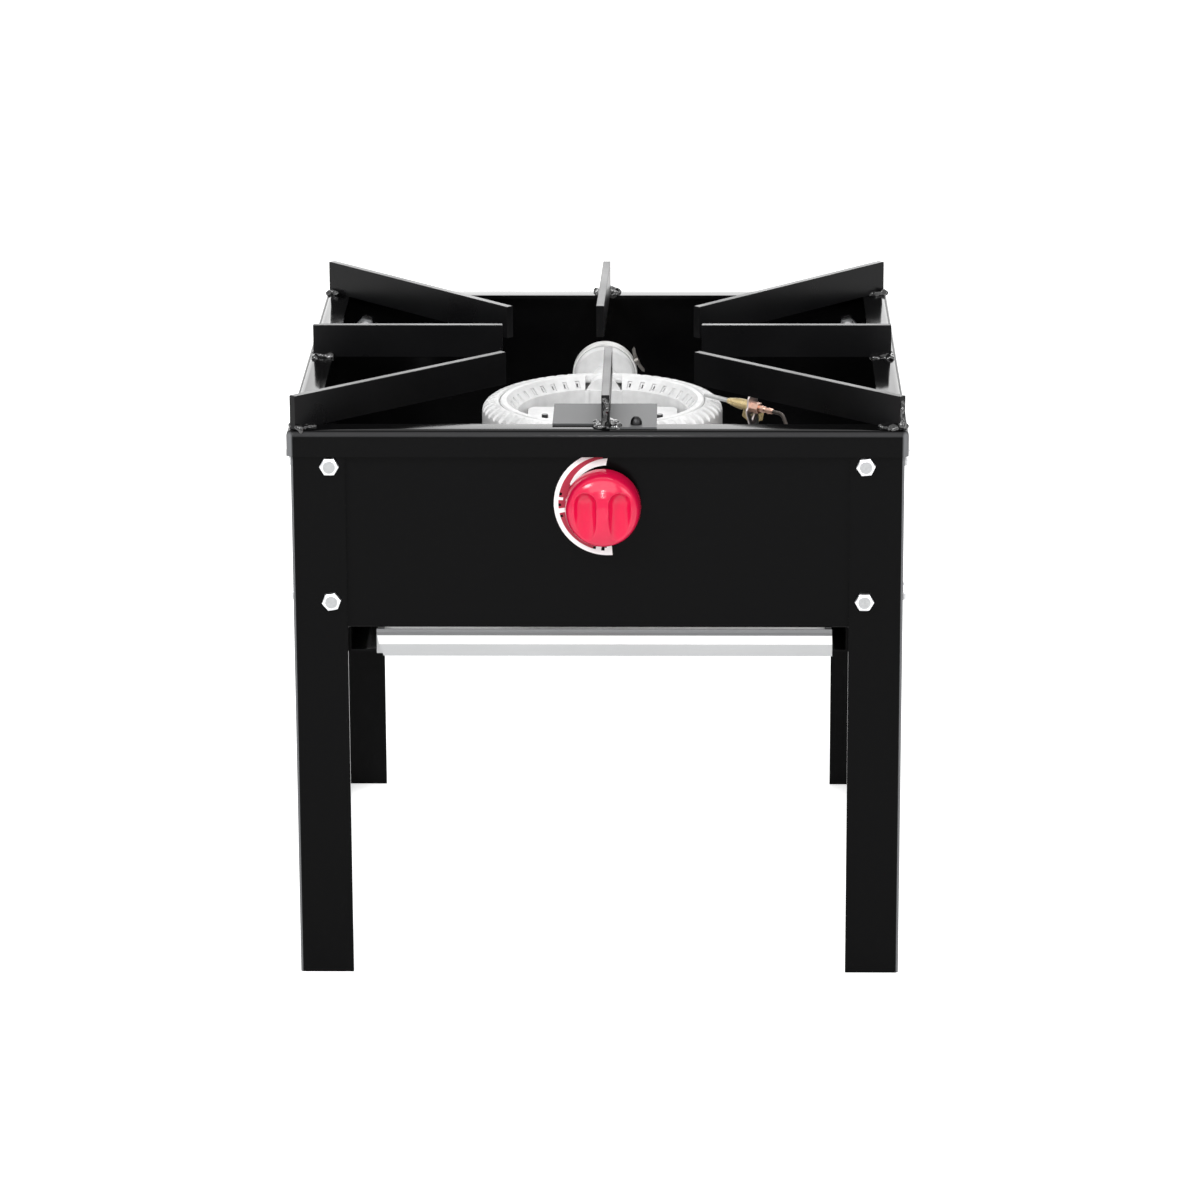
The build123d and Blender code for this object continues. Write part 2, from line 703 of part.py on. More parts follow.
def make_valve():
    body = block(valve_x - valve_w / 2, valve_x + valve_w / 2, valve_front, valve_back,
                 valve_z - valve_h / 2, valve_z + valve_h / 2)
    body = fillet(body.edges().filter_by(Axis.Y), valve_edge)
    collar_end = -(panel_face + collar_out)
    body += along_valve(collar_r, collar_end, valve_front + 1)
    # two side bosses take the pipe fittings
    side = valve_w / 2
    port_y = valve_back - 14
    body += rod(6.5, (valve_x - side - 5, port_y, valve_z), (valve_x + side + 5, port_y, valve_z))
    spindle_end = valve_front + 8
    body -= along_valve(spindle_r + spindle_fit, collar_end - 1, spindle_end + 1)
    chamber_end = spindle_end + push_head_t + push_pin_len + push_travel + travel_spare
    body -= along_valve(push_head_r + 0.1, spindle_end, spindle_end + push_head_t + push_travel + 6)
    body -= along_valve(push_pin_r + spindle_fit, spindle_end, chamber_end)
    keep("valve_body", body)
    knob_inner = knob_front + knob_wall + 2
    spindle = along_valve(spindle_r, knob_inner, spindle_end)
    flat = block(valve_x - spindle_r, valve_x + spindle_r, knob_inner - 1, knob_inner + 12,
                 valve_z + spindle_r - spindle_flat, valve_z + spindle_r + 1)
    keep("spindle", spindle - flat)
    pin = along_valve(push_head_r, spindle_end + 0.05, spindle_end + push_head_t)
    pin += along_valve(push_pin_r, spindle_end + push_head_t, spindle_end + push_head_t + push_pin_len)
    keep("push_pin", pin)
    # the return spring sits between the pin's head and the end of its chamber
    spring_start = spindle_end + push_head_t + 0.05
    spring_end = spindle_end + push_head_t + push_travel + 6 - 0.05
    sleeve = along_valve(spring_r, spring_start, spring_end)
    sleeve -= along_valve(spring_r - spring_wire * 2, spring_start - 1, spring_end + 1)
    keep("return_spring", sleeve)
    magnet = along_valve(magnet_r, valve_back, valve_back + magnet_len)
    end = valve_back + magnet_len
    magnet += hexagon(magnet_nut_af, (valve_x, end, valve_z), (valve_x, end + magnet_nut_len, valve_z))
    keep("magnet_unit", magnet)
    collar_nut = hexagon(nut_af, (valve_x, -panel_face - nut_t, valve_z), (valve_x, -panel_face, valve_z), 10)
    keep("collar_nut", collar_nut - along_valve(collar_r, -panel_face - nut_t - 1, -panel_face + 1))
    fittings = []
    for way in (-1, 1):
        start = valve_x + way * (side + 5)
        nut = hexagon(fitting_af, (start, port_y, valve_z), (start + way * fitting_len, port_y, valve_z))
        fittings.append(nut)
    keep("valve_fittings", Compound(fittings))
    return port_y, side


def make_knob():
    r = knob_d / 2
    back = knob_back
    front = knob_front
    face_r = grip_face_d / 2
    face_h = knob_depth - crown
    skirt_y = back - knob_skirt
    outline = Plane.XZ * Polyline((0, 0), (r, 0), (r, knob_skirt))
    side = Plane.XZ * Spline((r, knob_skirt), (r - 1.6, knob_skirt + 8), (face_r, face_h),
                             tangents=((-0.1, 1), (-1, 0.7)))
    dome = Plane.XZ * Spline((face_r, face_h), (0, knob_depth), tangents=((-1, 0.5), (-1, 0)))
    middle = Plane.XZ * Line((0, knob_depth), (0, 0))
    solid = revolve(make_face(outline + side + dome + middle), Axis.Z)
    # each cheek is a trough inside the round edge of the face, and the upright grip is left between them
    floor_h = knob_depth - scoop_depth
    edge = Pos(0, 0, floor_h) * Cone(face_r - scoop_wall, face_r, scoop_depth,
                                     align=(Align.CENTER, Align.CENTER, Align.MIN))
    for way in (-1, 1):
        x = way * (grip_w / 2 + scoop_r)
        trough = Pos(x, 0, floor_h + scoop_r) * Rot(90, 0, 0) * Cylinder(scoop_r, knob_d)
        solid -= edge & trough
    knob = Pos(valve_x, back, valve_z) * Rot(90, 0, 0) * solid
    hollow = along_valve(r - knob_wall, back + 1, skirt_y + 0.5)
    knob -= hollow
    hub_end = -(panel_face + collar_out + push_travel + travel_spare)
    knob += along_valve(knob_hub_r, hub_end, skirt_y - 3)
    knob_inner = front + knob_wall + 2
    knob -= along_valve(spindle_r, hub_end + 1, knob_inner)
    keep("knob", knob)


def make_shield():
    left = valve_x - shield_left
    right = valve_x + shield_right
    inner = frame_half - frame_flange
    lap = -(inner + shield_lap)
    tab = -(inner + shield_tab_lap)
    tab_x = front_x + blade_t / 2 + shield_tab_gap
    back = -(frame_half - shield_reach)
    outline = [(left, lap), (tab_x, lap), (tab_x, tab), (right, tab), (right, back), (left, back)]
    shield = prism(outline, Plane.XY.offset(frame_top), shield_t)
    x = valve_x + shield_screw_x
    y = -(frame_half - shield_screw_y)
    top = frame_top + shield_t
    hole = rod(shield_screw_d / 2, (x, y, frame_under - 1), (x, y, top + 1))
    keep("heat_shield", shield - hole)
    made["top_frame"] -= hole
    head = rod(shield_head_d / 2, (x, y, top), (x, y, top + shield_head_h))
    head = fillet(head.faces().sort_by(Axis.Z)[-1].edges(), shield_head_h / 2)
    screw = head + rod(shield_screw_d / 2, (x, y, top - shield_screw_len), (x, y, top))
    keep("shield_screw", screw)
    nut_low = frame_under - shield_nut_h
    nut = hexagon(shield_nut_af, (x, y, nut_low), (x, y, frame_under), 10)
    keep("shield_nut", nut - rod(shield_screw_d / 2, (x, y, nut_low - 1), (x, y, frame_under + 1)))


def along(points, start, aim):
    """A turned piece along a slanting axis, from points (radius, distance from its start)."""
    spin = revolve(make_face(Plane.XZ * Polyline(*points, close=True)), Axis.Z)
    return Plane(origin=start, z_dir=aim) * spin


def make_thermocouple():
    aim = tip_aim.normalized()

    def at(t):
        return tip_at + aim * t

    dome = tip_r * 0.5
    tip = [(0, 0), (dome, 0), (tip_r, dome), (tip_r, tip_len), (0, tip_len)]
    keep("thermocouple_tip", along(tip, at(0), aim))
    s = tip_len + sleeve_len
    stub_end = sleeve_len + bracket_t
    sleeve = [(0, 0), (tip_r + 0.3, 0), (sleeve_r * 0.8, sleeve_nose * 0.5), (sleeve_r, sleeve_nose),
              (sleeve_r, sleeve_len), (stub_r, sleeve_len), (stub_r, stub_end), (0, stub_end)]
    keep("thermocouple_sleeve", along(sleeve, at(tip_len), aim))
    n = s + bracket_t
    keep("thermocouple_nut", hexagon(sensor_nut_af, at(n), at(n + sensor_nut_t)))
    n += sensor_nut_t
    neck = lead_d / 2 + 0.3
    end = ferrule_len
    ferrule = [(0, 0), (ferrule_r, 0), (ferrule_r, end * 0.35), (neck, end * 0.45), (neck + 0.4, end * 0.55),
               (neck + 0.4, end * 0.9), (neck, end), (0, end)]
    keep("thermocouple_ferrule", along(ferrule, at(n), aim))
    # bracket: a plate square to the sensor with a round head and a fork that narrows to a stem,
    # bent to a foot on the support bar
    centre = at(s)
    across = Vector(0, 0, 1).cross(aim).normalized()
    rise = aim.cross(across)
    drop = (centre.Z - bar_top) / rise.Z
    stem = bracket_stem_w / 2
    fork = bracket_fork_w / 2
    below = -sleeve_r
    tail = -bracket_fork_h - sleeve_r
    upright = Plane(origin=centre, x_dir=across, z_dir=aim)
    plate = [(-stem, -drop - 2), (stem, -drop - 2), (stem, tail), (fork, below), (fork, below + 2),
             (bracket_head_r, 0), (bracket_head_r, bracket_head_up), (-bracket_head_r, bracket_head_up),
             (-bracket_head_r, 0), (-fork, below + 2), (-fork, below), (-stem, tail)]
    strip = prism(plate, upright, bracket_t)
    strip += extrude(upright * Pos(0, bracket_head_up, 0) * Circle(bracket_head_r), bracket_t)
    strip -= rod(stub_r, at(s - 1), at(s + bracket_t + 1))
    notch = [(-fork * 0.5, below - 1), (fork * 0.5, below - 1), (0, tail + stem)]
    strip -= Pos(aim * -1) * prism(notch, upright, bracket_t + 2)
    wide = 4 * bracket_foot
    under = Box(wide, wide, bracket_foot, align=(Align.CENTER, Align.CENTER, Align.MAX))
    strip -= Pos(centre.X, centre.Y, bar_top) * under
    # the foot starts under the strip's far side
    low = centre - rise * drop + Vector(aim.X, aim.Y, 0).normalized() * bracket_t
    a = low - across * stem
    b = low + across * stem
    x = bracket_foot_x
    y = bracket_screw_y
    w = bracket_screw_d
    tab = [(a.X, a.Y), (b.X, b.Y), (x + 2 * w, y - 2 * w), (x + 2 * w, y + 2 * w), (x - 2 * w, y + 2 * w),
           (x - 2 * w, y - 4 * w)]
    foot = prism(tab, Plane.XY.offset(bar_top), bracket_t)
    hole = rod(w / 2, (x, y, bar_top - bar_t - 1), (x, y, bar_top + bracket_t + 1))
    keep("thermocouple_bracket", strip + foot - hole)
    made["burner_support_bar"] -= hole
    head_z = bar_top + bracket_t
    head = rod(w, (x, y, head_z), (x, y, head_z + w / 2))
    head = fillet(head.faces().sort_by(Axis.Z)[-1].edges(), w / 5)
    keep("bracket_screw", head + rod(w / 2, (x, y, bar_top - bar_t - w), (x, y, head_z)))
    return at(n + ferrule_len), aim


def make_lead(start, aim):
    end = (valve_x, valve_back + magnet_len + magnet_nut_len, valve_z)
    route = [tuple(start), tuple(start + aim * 9), (148, -80, 368), (146, -112, 354), (118, -128, 345),
             (84, -126, 346), (56, -112, 352), (34, -92, 360), (end[0], -94, end[2]), end]
    keep("thermocouple_lead", tube("thermocouple_lead", route, lead_d))


def make_pipes(port_y, side):
    out = valve_x - side - 5 - fitting_len
    low = ring_low - pipe_under_ring
    route = [(out, port_y, valve_z), (out - 24, port_y, valve_z), (out - 24, port_y + 34, valve_z - 10),
             (out - 4, port_y + 76, low), (out, 0, low), (0, 112, low), (0, holder_y, low),
             (0, holder_y, injector_inlet_z)]
    keep("burner_pipe", tube("burner_pipe", route, pipe_d))
    start = valve_x + side + 5 + fitting_len
    back = panel_face - panel_t - inlet_in
    route = [(inlet_x, back, inlet_z), (inlet_x, back - 50, inlet_z), (inlet_x + 4, 60, inlet_z),
             (inlet_x + 4, -30, inlet_z), (inlet_x - 4, -100, inlet_z + 2),
             (inlet_x - 26, -150, inlet_z + 16), (inlet_x - 52, port_y, valve_z - 8),
             (start + 16, port_y, valve_z), (start, port_y, valve_z)]
    keep("supply_pipe", tube("supply_pipe", route, pipe_d))


def make_inlet():
    face = panel_face
    inner = face - panel_t
    tip = face + inlet_out
    stem = rod(inlet_thread_r, (inlet_x, inner - inlet_in, inlet_z), (inlet_x, face, inlet_z))
    collar = hexagon(inlet_hex_af, (inlet_x, face, inlet_z), (inlet_x, face + inlet_hex_t, inlet_z))
    land = face + inlet_hex_t
    nozzle = rod(hose_r, (inlet_x, land, inlet_z), (inlet_x, tip, inlet_z))
    nozzle += rod(barb_r, (inlet_x, land, inlet_z), (inlet_x, land + land_len, inlet_z))
    for n in range(barb_count):
        y = tip - 1 - n * barb_pitch
        cone = [(0, y - barb_len), (barb_r, y - barb_len), (hose_r, y), (0, y)]
        nozzle += turned(cone, (inlet_x, inlet_z), y_axis=True)
    whole = stem + collar + nozzle
    whole -= rod(inlet_bore_r, (inlet_x, inner - inlet_in + 2, inlet_z), (inlet_x, tip + 1, inlet_z))
    keep("inlet_nozzle", whole)
    nut = hexagon(inlet_hex_af, (inlet_x, inner - inlet_nut_t, inlet_z), (inlet_x, inner, inlet_z), 12)
    nut -= rod(inlet_thread_r, (inlet_x, inner - inlet_nut_t - 1, inlet_z), (inlet_x, inner + 1, inlet_z))
    keep("inlet_lock_nut", nut)


def make_tray():
    x0 = tray_x - tray_w / 2
    x1 = tray_x + tray_w / 2
    low = runner_low + runner_t + 0.05
    t = tray_t
    side_top = low + tray_side_h
    # front lip: an upright band, a slope and a lower upright band
    z_top = tray_top
    z_a = z_top - lip_top_band
    z_b = z_a - lip_slope_h
    outline = [(-lip_back, z_top), (-lip_back, z_a), (-lip_front, z_b), (-lip_front, tray_low),
               (-lip_front + t, tray_low), (-lip_front + t, z_b + 0.4), (-lip_back + t, z_a + 0.4),
               (-lip_back + t, z_top)]
    lip = prism(outline, Plane.YZ.offset(x0), tray_w)
    lip -= prism([(x0 - 1, tray_low - 1), (x0 + lip_corner, tray_low - 1), (x0 - 1, z_top)],
                 Plane.XZ.offset(lip_front - 30), 60)
    floor = block(x0, x1, -lip_back, tray_back, low, low + t)
    front_wall = block(x0, x1, -lip_back, -lip_back + t, low, z_a + 1)
    back_wall = block(x0, x1, tray_back - t, tray_back, low, side_top)
    tray = lip + floor + front_wall + back_wall
    for x, inward in ((x0, 1), (x1, -1)):
        tray += block(x, x + inward * t, -lip_back, tray_back, low, side_top)
        tray += block(x, x + inward * hem, -lip_back, tray_back, side_top - t, side_top)
    tray += block(x0, x1, tray_back - hem, tray_back, side_top - t, side_top)
    keep("drip_tray", tray)


def make_runners():
    rivets = []
    for name, side in (("left", -1), ("right", 1)):
        x = side * runner_x
        z1 = panel_low
        z0 = runner_low
        web = block(x, x - side * runner_t, -runner_half, runner_half, z0, z1)
        top = block(x, x - side * runner_top_w, -runner_half, runner_half, z1 - runner_t, z1)
        ledge = block(x, x - side * runner_ledge_w, -runner_half, runner_half, z0, z0 + runner_t)
        keep("tray_runner_" + name, web + top + ledge)
        for sy in (-1, 1):
            rx = x - side * (runner_top_w / 2 + 0.6)
            ry = sy * (runner_half - 4.5)
            top_z = z1 + panel_t
            rivet = rod(rivet_d / 2, (rx, ry, z1 - runner_t - rivet_head_h), (rx, ry, top_z + rivet_head_h))
            rivet += rod(rivet_head_d / 2, (rx, ry, top_z), (rx, ry, top_z + rivet_head_h))
            rivets.append(rivet)
    keep("runner_rivets", Compound(rivets))


def drill_rivets():
    """Holes for the rivets through the runners and the panels' folds."""
    for name in ("left", "right"):
        side = -1 if name == "left" else 1
        x = side * (runner_x - runner_top_w / 2 - 0.6)
        for sy in (-1, 1):
            y = sy * (runner_half - 4.5)
            hole = rod(rivet_d / 2, (x, y, panel_low - 4), (x, y, panel_low + 4))
            made["tray_runner_" + name] -= hole
            panel = "front_panel" if sy < 0 else "back_panel"
            made[panel] -= hole


def write_parts():
    for name, shape in made.items():
        export_step(shape, "parts/" + name + ".step")
    print(len(made), "parts")


make_legs()
make_panels()
make_leg_bolts()
make_frame()
make_blades()
make_burner_body()
make_burner_cap()
make_air_shutter()
make_injector()
make_support_bar()
valve_port_y, valve_side = make_valve()
make_knob()
make_shield()
lead_start, lead_aim = make_thermocouple()
make_lead(lead_start, lead_aim)
make_pipes(valve_port_y, valve_side)
make_inlet()
make_tray()
make_runners()
drill_rivets()
write_parts()
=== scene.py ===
"""Finishes and small parts of a single burner gas stove, built around its fixed frame."""

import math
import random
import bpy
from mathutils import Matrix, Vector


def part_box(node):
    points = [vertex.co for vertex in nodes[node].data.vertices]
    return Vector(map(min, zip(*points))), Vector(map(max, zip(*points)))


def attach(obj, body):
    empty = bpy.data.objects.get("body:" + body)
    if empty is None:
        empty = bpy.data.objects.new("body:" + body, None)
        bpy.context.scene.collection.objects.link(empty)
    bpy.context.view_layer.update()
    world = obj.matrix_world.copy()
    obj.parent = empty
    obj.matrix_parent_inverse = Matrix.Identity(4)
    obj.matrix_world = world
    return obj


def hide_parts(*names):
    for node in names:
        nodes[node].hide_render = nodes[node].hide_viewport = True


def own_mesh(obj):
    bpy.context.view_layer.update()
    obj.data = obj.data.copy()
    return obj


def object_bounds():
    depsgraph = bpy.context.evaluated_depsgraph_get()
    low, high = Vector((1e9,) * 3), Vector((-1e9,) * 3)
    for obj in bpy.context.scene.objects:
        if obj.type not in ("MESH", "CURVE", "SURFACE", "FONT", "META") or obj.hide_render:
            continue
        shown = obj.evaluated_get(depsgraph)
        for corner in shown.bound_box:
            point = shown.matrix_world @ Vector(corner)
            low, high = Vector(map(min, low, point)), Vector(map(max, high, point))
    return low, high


bl_info = {
    "name": "Single burner gas stove",
    "version": (1, 0, 0),
    "blender": (4, 5, 0),
    "location": "View3D > Sidebar > Gas stove",
    "description": "Finishes, welds, bolts, knob and dial of a single burner gas stove",
    "category": "Object",
}

import bmesh
import bpy
from mathutils import Matrix, Vector

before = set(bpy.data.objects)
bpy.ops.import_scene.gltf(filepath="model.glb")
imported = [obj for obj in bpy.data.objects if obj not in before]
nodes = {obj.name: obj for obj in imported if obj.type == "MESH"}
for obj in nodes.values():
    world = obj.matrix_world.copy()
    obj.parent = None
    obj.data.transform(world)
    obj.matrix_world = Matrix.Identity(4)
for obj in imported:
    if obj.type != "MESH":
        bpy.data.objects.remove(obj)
cad_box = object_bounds()

MM = 0.001
CORNERS = [(-1, -1), (1, -1), (-1, 1), (1, 1)]
UPRIGHT_WELDS = ["support_front", "support_front_right", "support_rear"]

# Places read from the frame, in metres
panel_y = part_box("front_panel")[0].y
leg_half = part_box("leg_front_right")[1].x
frame_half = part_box("top_frame")[1].x
frame_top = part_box("top_frame")[1].z
frame_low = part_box("top_frame")[0].z
knob_low, knob_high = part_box("knob")
knob_x = (knob_low.x + knob_high.x) / 2
knob_z = (knob_low.z + knob_high.z) / 2


def linear(code):
    """An sRGB hex code as a linear colour with full alpha."""
    parts = [int(code[i:i + 2], 16) / 255 for i in (0, 2, 4)]
    return [p / 12.92 if p <= 0.04045 else ((p + 0.055) / 1.055) ** 2.4 for p in parts] + [1.0]


def ink(name, text, code):
    """A colour property of the panel."""
    return bpy.props.FloatVectorProperty(
        name=name, description=text, subtype="COLOR", size=4, min=0.0, max=1.0, default=linear(code))


def length(name, text, size):
    """A length property of the panel, in metres."""
    return bpy.props.FloatProperty(name=name, description=text, subtype="DISTANCE", unit="LENGTH", min=0.0,
                                   default=size)


class StoveColours(bpy.types.PropertyGroup):
    enamel: ink("Enamel", "Black stove enamel on the sheet and angle steel", "060607")
    zinc: ink("Zinc", "Bright zinc plating on bolts and screws", "f0f1f2")
    casting: ink("Burner", "Silver heat paint on the cast burner", "ededed")
    knob: ink("Knob", "Glossy plastic of the knob", "da0e43")
    dial: ink("Dial", "White ink of the scale round the knob", "fbfafa")
    dial_red: ink("Dial's red", "Red ink of the scale round the knob", "b52f45")
    shield: ink("Heat shield", "Plain sheet steel over the valve", "4c4d4e")
    tray: ink("Tray", "Aluminised sheet of the drip tray", "b0b1b2")


class StoveSizes(bpy.types.PropertyGroup):
    bolt_flats: length("Bolt", "Across the flats of a leg bolt's head", 12.4 * MM)
    bolt_head: length("Bolt head", "Height of a leg bolt's head", 5.3 * MM)
    bolt_shank: length("Bolt shank", "Diameter of a leg bolt", 8 * MM)
    bolt_inset: length("Bolt inset", "Leg's outer edge to the bolt", 28.5 * MM)
    bolt_reach: length("Bolt reach", "Length of a leg bolt under its head", 14 * MM)
    bolt_pitch: length("Bolt pitch", "Upper bolt to lower bolt", 103 * MM)
    bolt_gap: length("Bolt gap", "Corner of an upper bolt's head to the frame's lower edge", 0.2 * MM)
    round_head: length("Round head", "Diameter of the heat shield's screw head", 8.6 * MM)
    round_high: length("Round head height", "Height of the heat shield's screw head", 6.2 * MM)
    round_shank: length("Round head shank", "Diameter of the heat shield's screw", 5 * MM)
    angle_wall: length("Angle wall", "Thickness of the frame's angle steel", 3 * MM)
    angle_flange: length("Angle flange", "Width of the frame's flange", 20 * MM)
    angle_edge: length("Angle edge", "Radius of the angle's rolled outer edge", 5.5 * MM)
    knob_wall: length("Knob wall", "Thickness of the knob's skirt", 3 * MM)
    knob_floor: length("Knob floor", "Depth of the hollow in the knob's back", 6.5 * MM)
    knob_bore: length("Knob bore", "Diameter of the hole for the spindle", 6.6 * MM)
    scoop_radius: length("Scoop radius", "Radius of the hollow in each cheek of the knob", 9 * MM)
    scoop_aside: length("Scoop aside", "Knob's axis to the middle of a hollow", 13.4 * MM)
    scoop_up: length("Scoop up", "Knob's axis to the round end of a hollow", 7.5 * MM)
    scoop_high: length("Scoop height", "Knob's back to the middle of a hollow's round end", 27.3 * MM)
    scoop_lean: bpy.props.FloatProperty(name="Scoop lean", description="How a hollow leans out of the face",
                                        subtype="ANGLE", default=math.radians(6.5))
    # the strip along the tray's top is drawn grey as painted shade under the panel's edge
    tray_shaded_strip: length("Tray strip", "Height of the duller strip along the tray's top", 4.2 * MM)
    weld_width: length("Weld width", "Width of a weld bead", 8 * MM)
    weld_length: length("Weld length", "Length of a weld bead", 15 * MM)
    weld_step: length("Weld step", "From one ripple of a weld bead to the next", 3.6 * MM)
    dial_outer: length("Dial radius", "Outer radius of the printed scale", 39.6 * MM)
    dial_band: length("Dial band", "Width of the scale's outer band", 3.3 * MM)
    dial_lift: length("Dial lift", "White ink's middle in front of the panel", 0.16 * MM)
    dial_red_lift: length("Red ink's lift", "Red ink's middle in front of the panel", 0.1 * MM)
    dial_right: length("Dial right", "Scale's centre to the right of the knob's axis", 3.5 * MM)
    dial_up: length("Dial up", "Scale's centre above the knob's axis", 0.6 * MM)


# Shared steps of modelling

def deselect():
    bpy.ops.object.select_all(action="DESELECT")


def only(piece):
    """Make a piece the only selected one, and active."""
    deselect()
    piece.select_set(True)
    bpy.context.view_layer.objects.active = piece


def apply_place(piece):
    """Put a piece's place, turn and size into its mesh."""
    only(piece)
    bpy.ops.object.transform_apply(location=True, rotation=True, scale=True)


def choose(piece, test, kind="FACE"):
    """Go into edit mode on a piece with the faces, edges or corners selected that pass a test."""
    only(piece)
    bpy.ops.object.mode_set(mode="EDIT")
    bpy.ops.mesh.select_mode(type=kind)
    bpy.ops.mesh.select_all(action="DESELECT")
    mesh = bmesh.from_edit_mesh(piece.data)
    for part in {"FACE": mesh.faces, "EDGE": mesh.edges, "VERT": mesh.verts}[kind]:
        part.select_set(bool(test(part)))
    bmesh.update_edit_mesh(piece.data)


def leave_edit():
    bpy.ops.object.mode_set(mode="OBJECT")


def modify(piece, kind, **settings):
    """Add a modifier with its settings and apply it."""
    only(piece)
    modifier = piece.modifiers.new(kind.title(), kind)
    for key, value in settings.items():
        setattr(modifier, key, value)
    bpy.ops.object.modifier_apply(modifier=modifier.name)


def join(pieces):
    """Join pieces into the first one."""
    deselect()
    for piece in pieces:
        piece.select_set(True)
    bpy.context.view_layer.objects.active = pieces[0]
    bpy.ops.object.join()
    return pieces[0]


def copies(piece, places):
    """One joined piece from a copy of a piece at each place, each with its own mesh."""
    made = []
    for place in places:
        twin = piece.copy()
        twin.data = piece.data.copy()
        twin.matrix_world = place @ piece.matrix_world
        bpy.context.scene.collection.objects.link(twin)
        made.append(twin)
    bpy.data.objects.remove(piece)
    return join(made)


def settle(piece, name, material, body, angle, replaced=()):
    apply_place(piece)
    bpy.ops.object.shade_smooth_by_angle(angle=math.radians(angle))
    piece.name = name
    piece.data.name = name
    if not piece.data.materials:
        piece.data.materials.append(material)
    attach(piece, body)
    if replaced:
        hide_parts(*replaced)


def finish_nodes(material, *names):
    """Give the frame's own pieces a material."""
    for name in names:
        slots = nodes[name].data.materials
        slots.clear()
        slots.append(material)


# Materials

def add_node(tree, kind, settings):
    """Add a shader node. A setting is a property, a socket's value or the output to join to a socket."""
    made = tree.nodes.new(kind)
    for key, value in settings.items():
        if isinstance(value, bpy.types.NodeSocket):
            tree.links.new(value, made.inputs[key])
        elif isinstance(key, str) and hasattr(made, key):
            setattr(made, key, value)
        else:
            made.inputs[key].default_value = value
    return made


def noise(tree, place, scale, detail, roughness=0.5, distortion=0.0):
    """Noise with lumps about 1 / scale metres wide."""
    made = add_node(tree, "ShaderNodeTexNoise",
                    {"Vector": place, "Scale": scale, "Detail": detail, "Roughness": roughness,
                     "Distortion": distortion})
    return made.outputs[0]


def blend(tree, amount, first, second):
    """The first colour where the amount is 0, the second where it is 1."""
    made = add_node(tree, "ShaderNodeMix", {"data_type": "RGBA", 0: amount, 6: first, 7: second})
    return made.outputs[2]


def scaled(tree, value, start, end, low, high):
    """A value that runs from start to end, made to run from low to high."""
    made = add_node(tree, "ShaderNodeMapRange", {0: value, 1: start, 2: end, 3: low, 4: high})
    return made.outputs[0]


def result(tree, operation, *values):
    """The result of a sum on one or two values."""
    made = add_node(tree, "ShaderNodeMath", {"operation": operation, **dict(enumerate(values))})
    return made.outputs[0]


def bumps(tree, height, strength, distance):
    """Small bumps that follow a height."""
    made = add_node(tree, "ShaderNodeBump",
                    {"Height": height, "Strength": strength, "Distance": distance})
    return made.outputs[0]


def blank(name):
    """An empty material: its node tree and the Object coordinates."""
    material = bpy.data.materials.new(name)
    material.use_nodes = True
    tree = material.node_tree
    tree.nodes.clear()
    place = add_node(tree, "ShaderNodeTexCoord", {}).outputs["Object"]
    return material, tree, place


def surfaced(material, settings):
    """Give an empty material its surface."""
    tree = material.node_tree
    shader = add_node(tree, "ShaderNodeBsdfPrincipled", settings)
    add_node(tree, "ShaderNodeOutputMaterial", {"Surface": shader.outputs[0]})
    return material


def stove_enamel(name, colour, worn, peel, specular, roughness, edges=True):
    """Stove enamel, sprayed on steel and baked: deep black, softly shiny, with painted highlights on rounded
    edges if asked.
    """
    material, tree, place = blank(name)
    # orange peel of about 3 mm, drawn a little coarser so that it shows
    ripple = noise(tree, place, 260.0, 2.0, roughness=0.4)
    # cloudy changes in the coat, about 60 mm across
    cloud = noise(tree, place, 16.0, 4.0)
    tone = blend(tree, cloud, colour, worn)
    # painted highlights: grey tones on the rounded edges, chosen by the way each edge faces
    if edges:
        tone = painted_edge_highlights(tree, tone)
    return surfaced(material, {
        "Base Color": tone,
        "Roughness": scaled(tree, cloud, 0.3, 0.7, roughness - 0.05, roughness + 0.06),
        "Specular IOR Level": specular,
        "IOR": 1.5,
        "Normal": bumps(tree, ripple, peel, 0.3 * MM),
    })


def painted_edge_highlights(tree, tone):
    """Painted highlights on rounded edges: grey where a level edge looks half up, paler where an upright
    edge looks out aslant.
    """
    level_highlight_tone = linear("343435")
    upright_highlight_tone = linear("77787a")
    # a level edge gets its painted highlight where its normal's Z is this near to the middle, and stays
    # black from the reach on
    level_middle, level_near, level_reach = 0.45, 0.22, 0.36
    # an upright edge looks along X and Y at once: the product of the two where its painted highlight begins
    # and is full
    upright_start, upright_full = 0.2, 0.42
    level_most, upright_most = 0.95, 0.9
    normal = add_node(tree, "ShaderNodeNewGeometry", {}).outputs["Normal"]
    parts = add_node(tree, "ShaderNodeSeparateXYZ", {0: normal}).outputs
    far = result(tree, "ABSOLUTE", result(tree, "SUBTRACT", parts["Z"], level_middle))
    level = scaled(tree, far, level_near, level_reach, level_most, 0.0)
    slant = result(tree, "ABSOLUTE", result(tree, "MULTIPLY", parts["X"], parts["Y"]))
    upright = scaled(tree, slant, upright_start, upright_full, 0.0, upright_most)
    return blend(tree, upright, blend(tree, level, tone, level_highlight_tone), upright_highlight_tone)


def plated_metal(name, colour, shade, roughness, spot):
    """Metal with a thin bright plating: pale, with soft cloudy spots where the bath left it duller."""
    material, tree, place = blank(name)
    uneven = 0.08
    cloud = noise(tree, place, 1 / spot, 3.0, roughness=0.55)
    return surfaced(material, {
        "Base Color": blend(tree, cloud, colour, shade),
        "Metallic": 1.0,
        "Roughness": scaled(tree, cloud, 0.3, 0.7, roughness - uneven, roughness + uneven),
        "Normal": bumps(tree, cloud, 0.1, 0.05 * MM),
    })


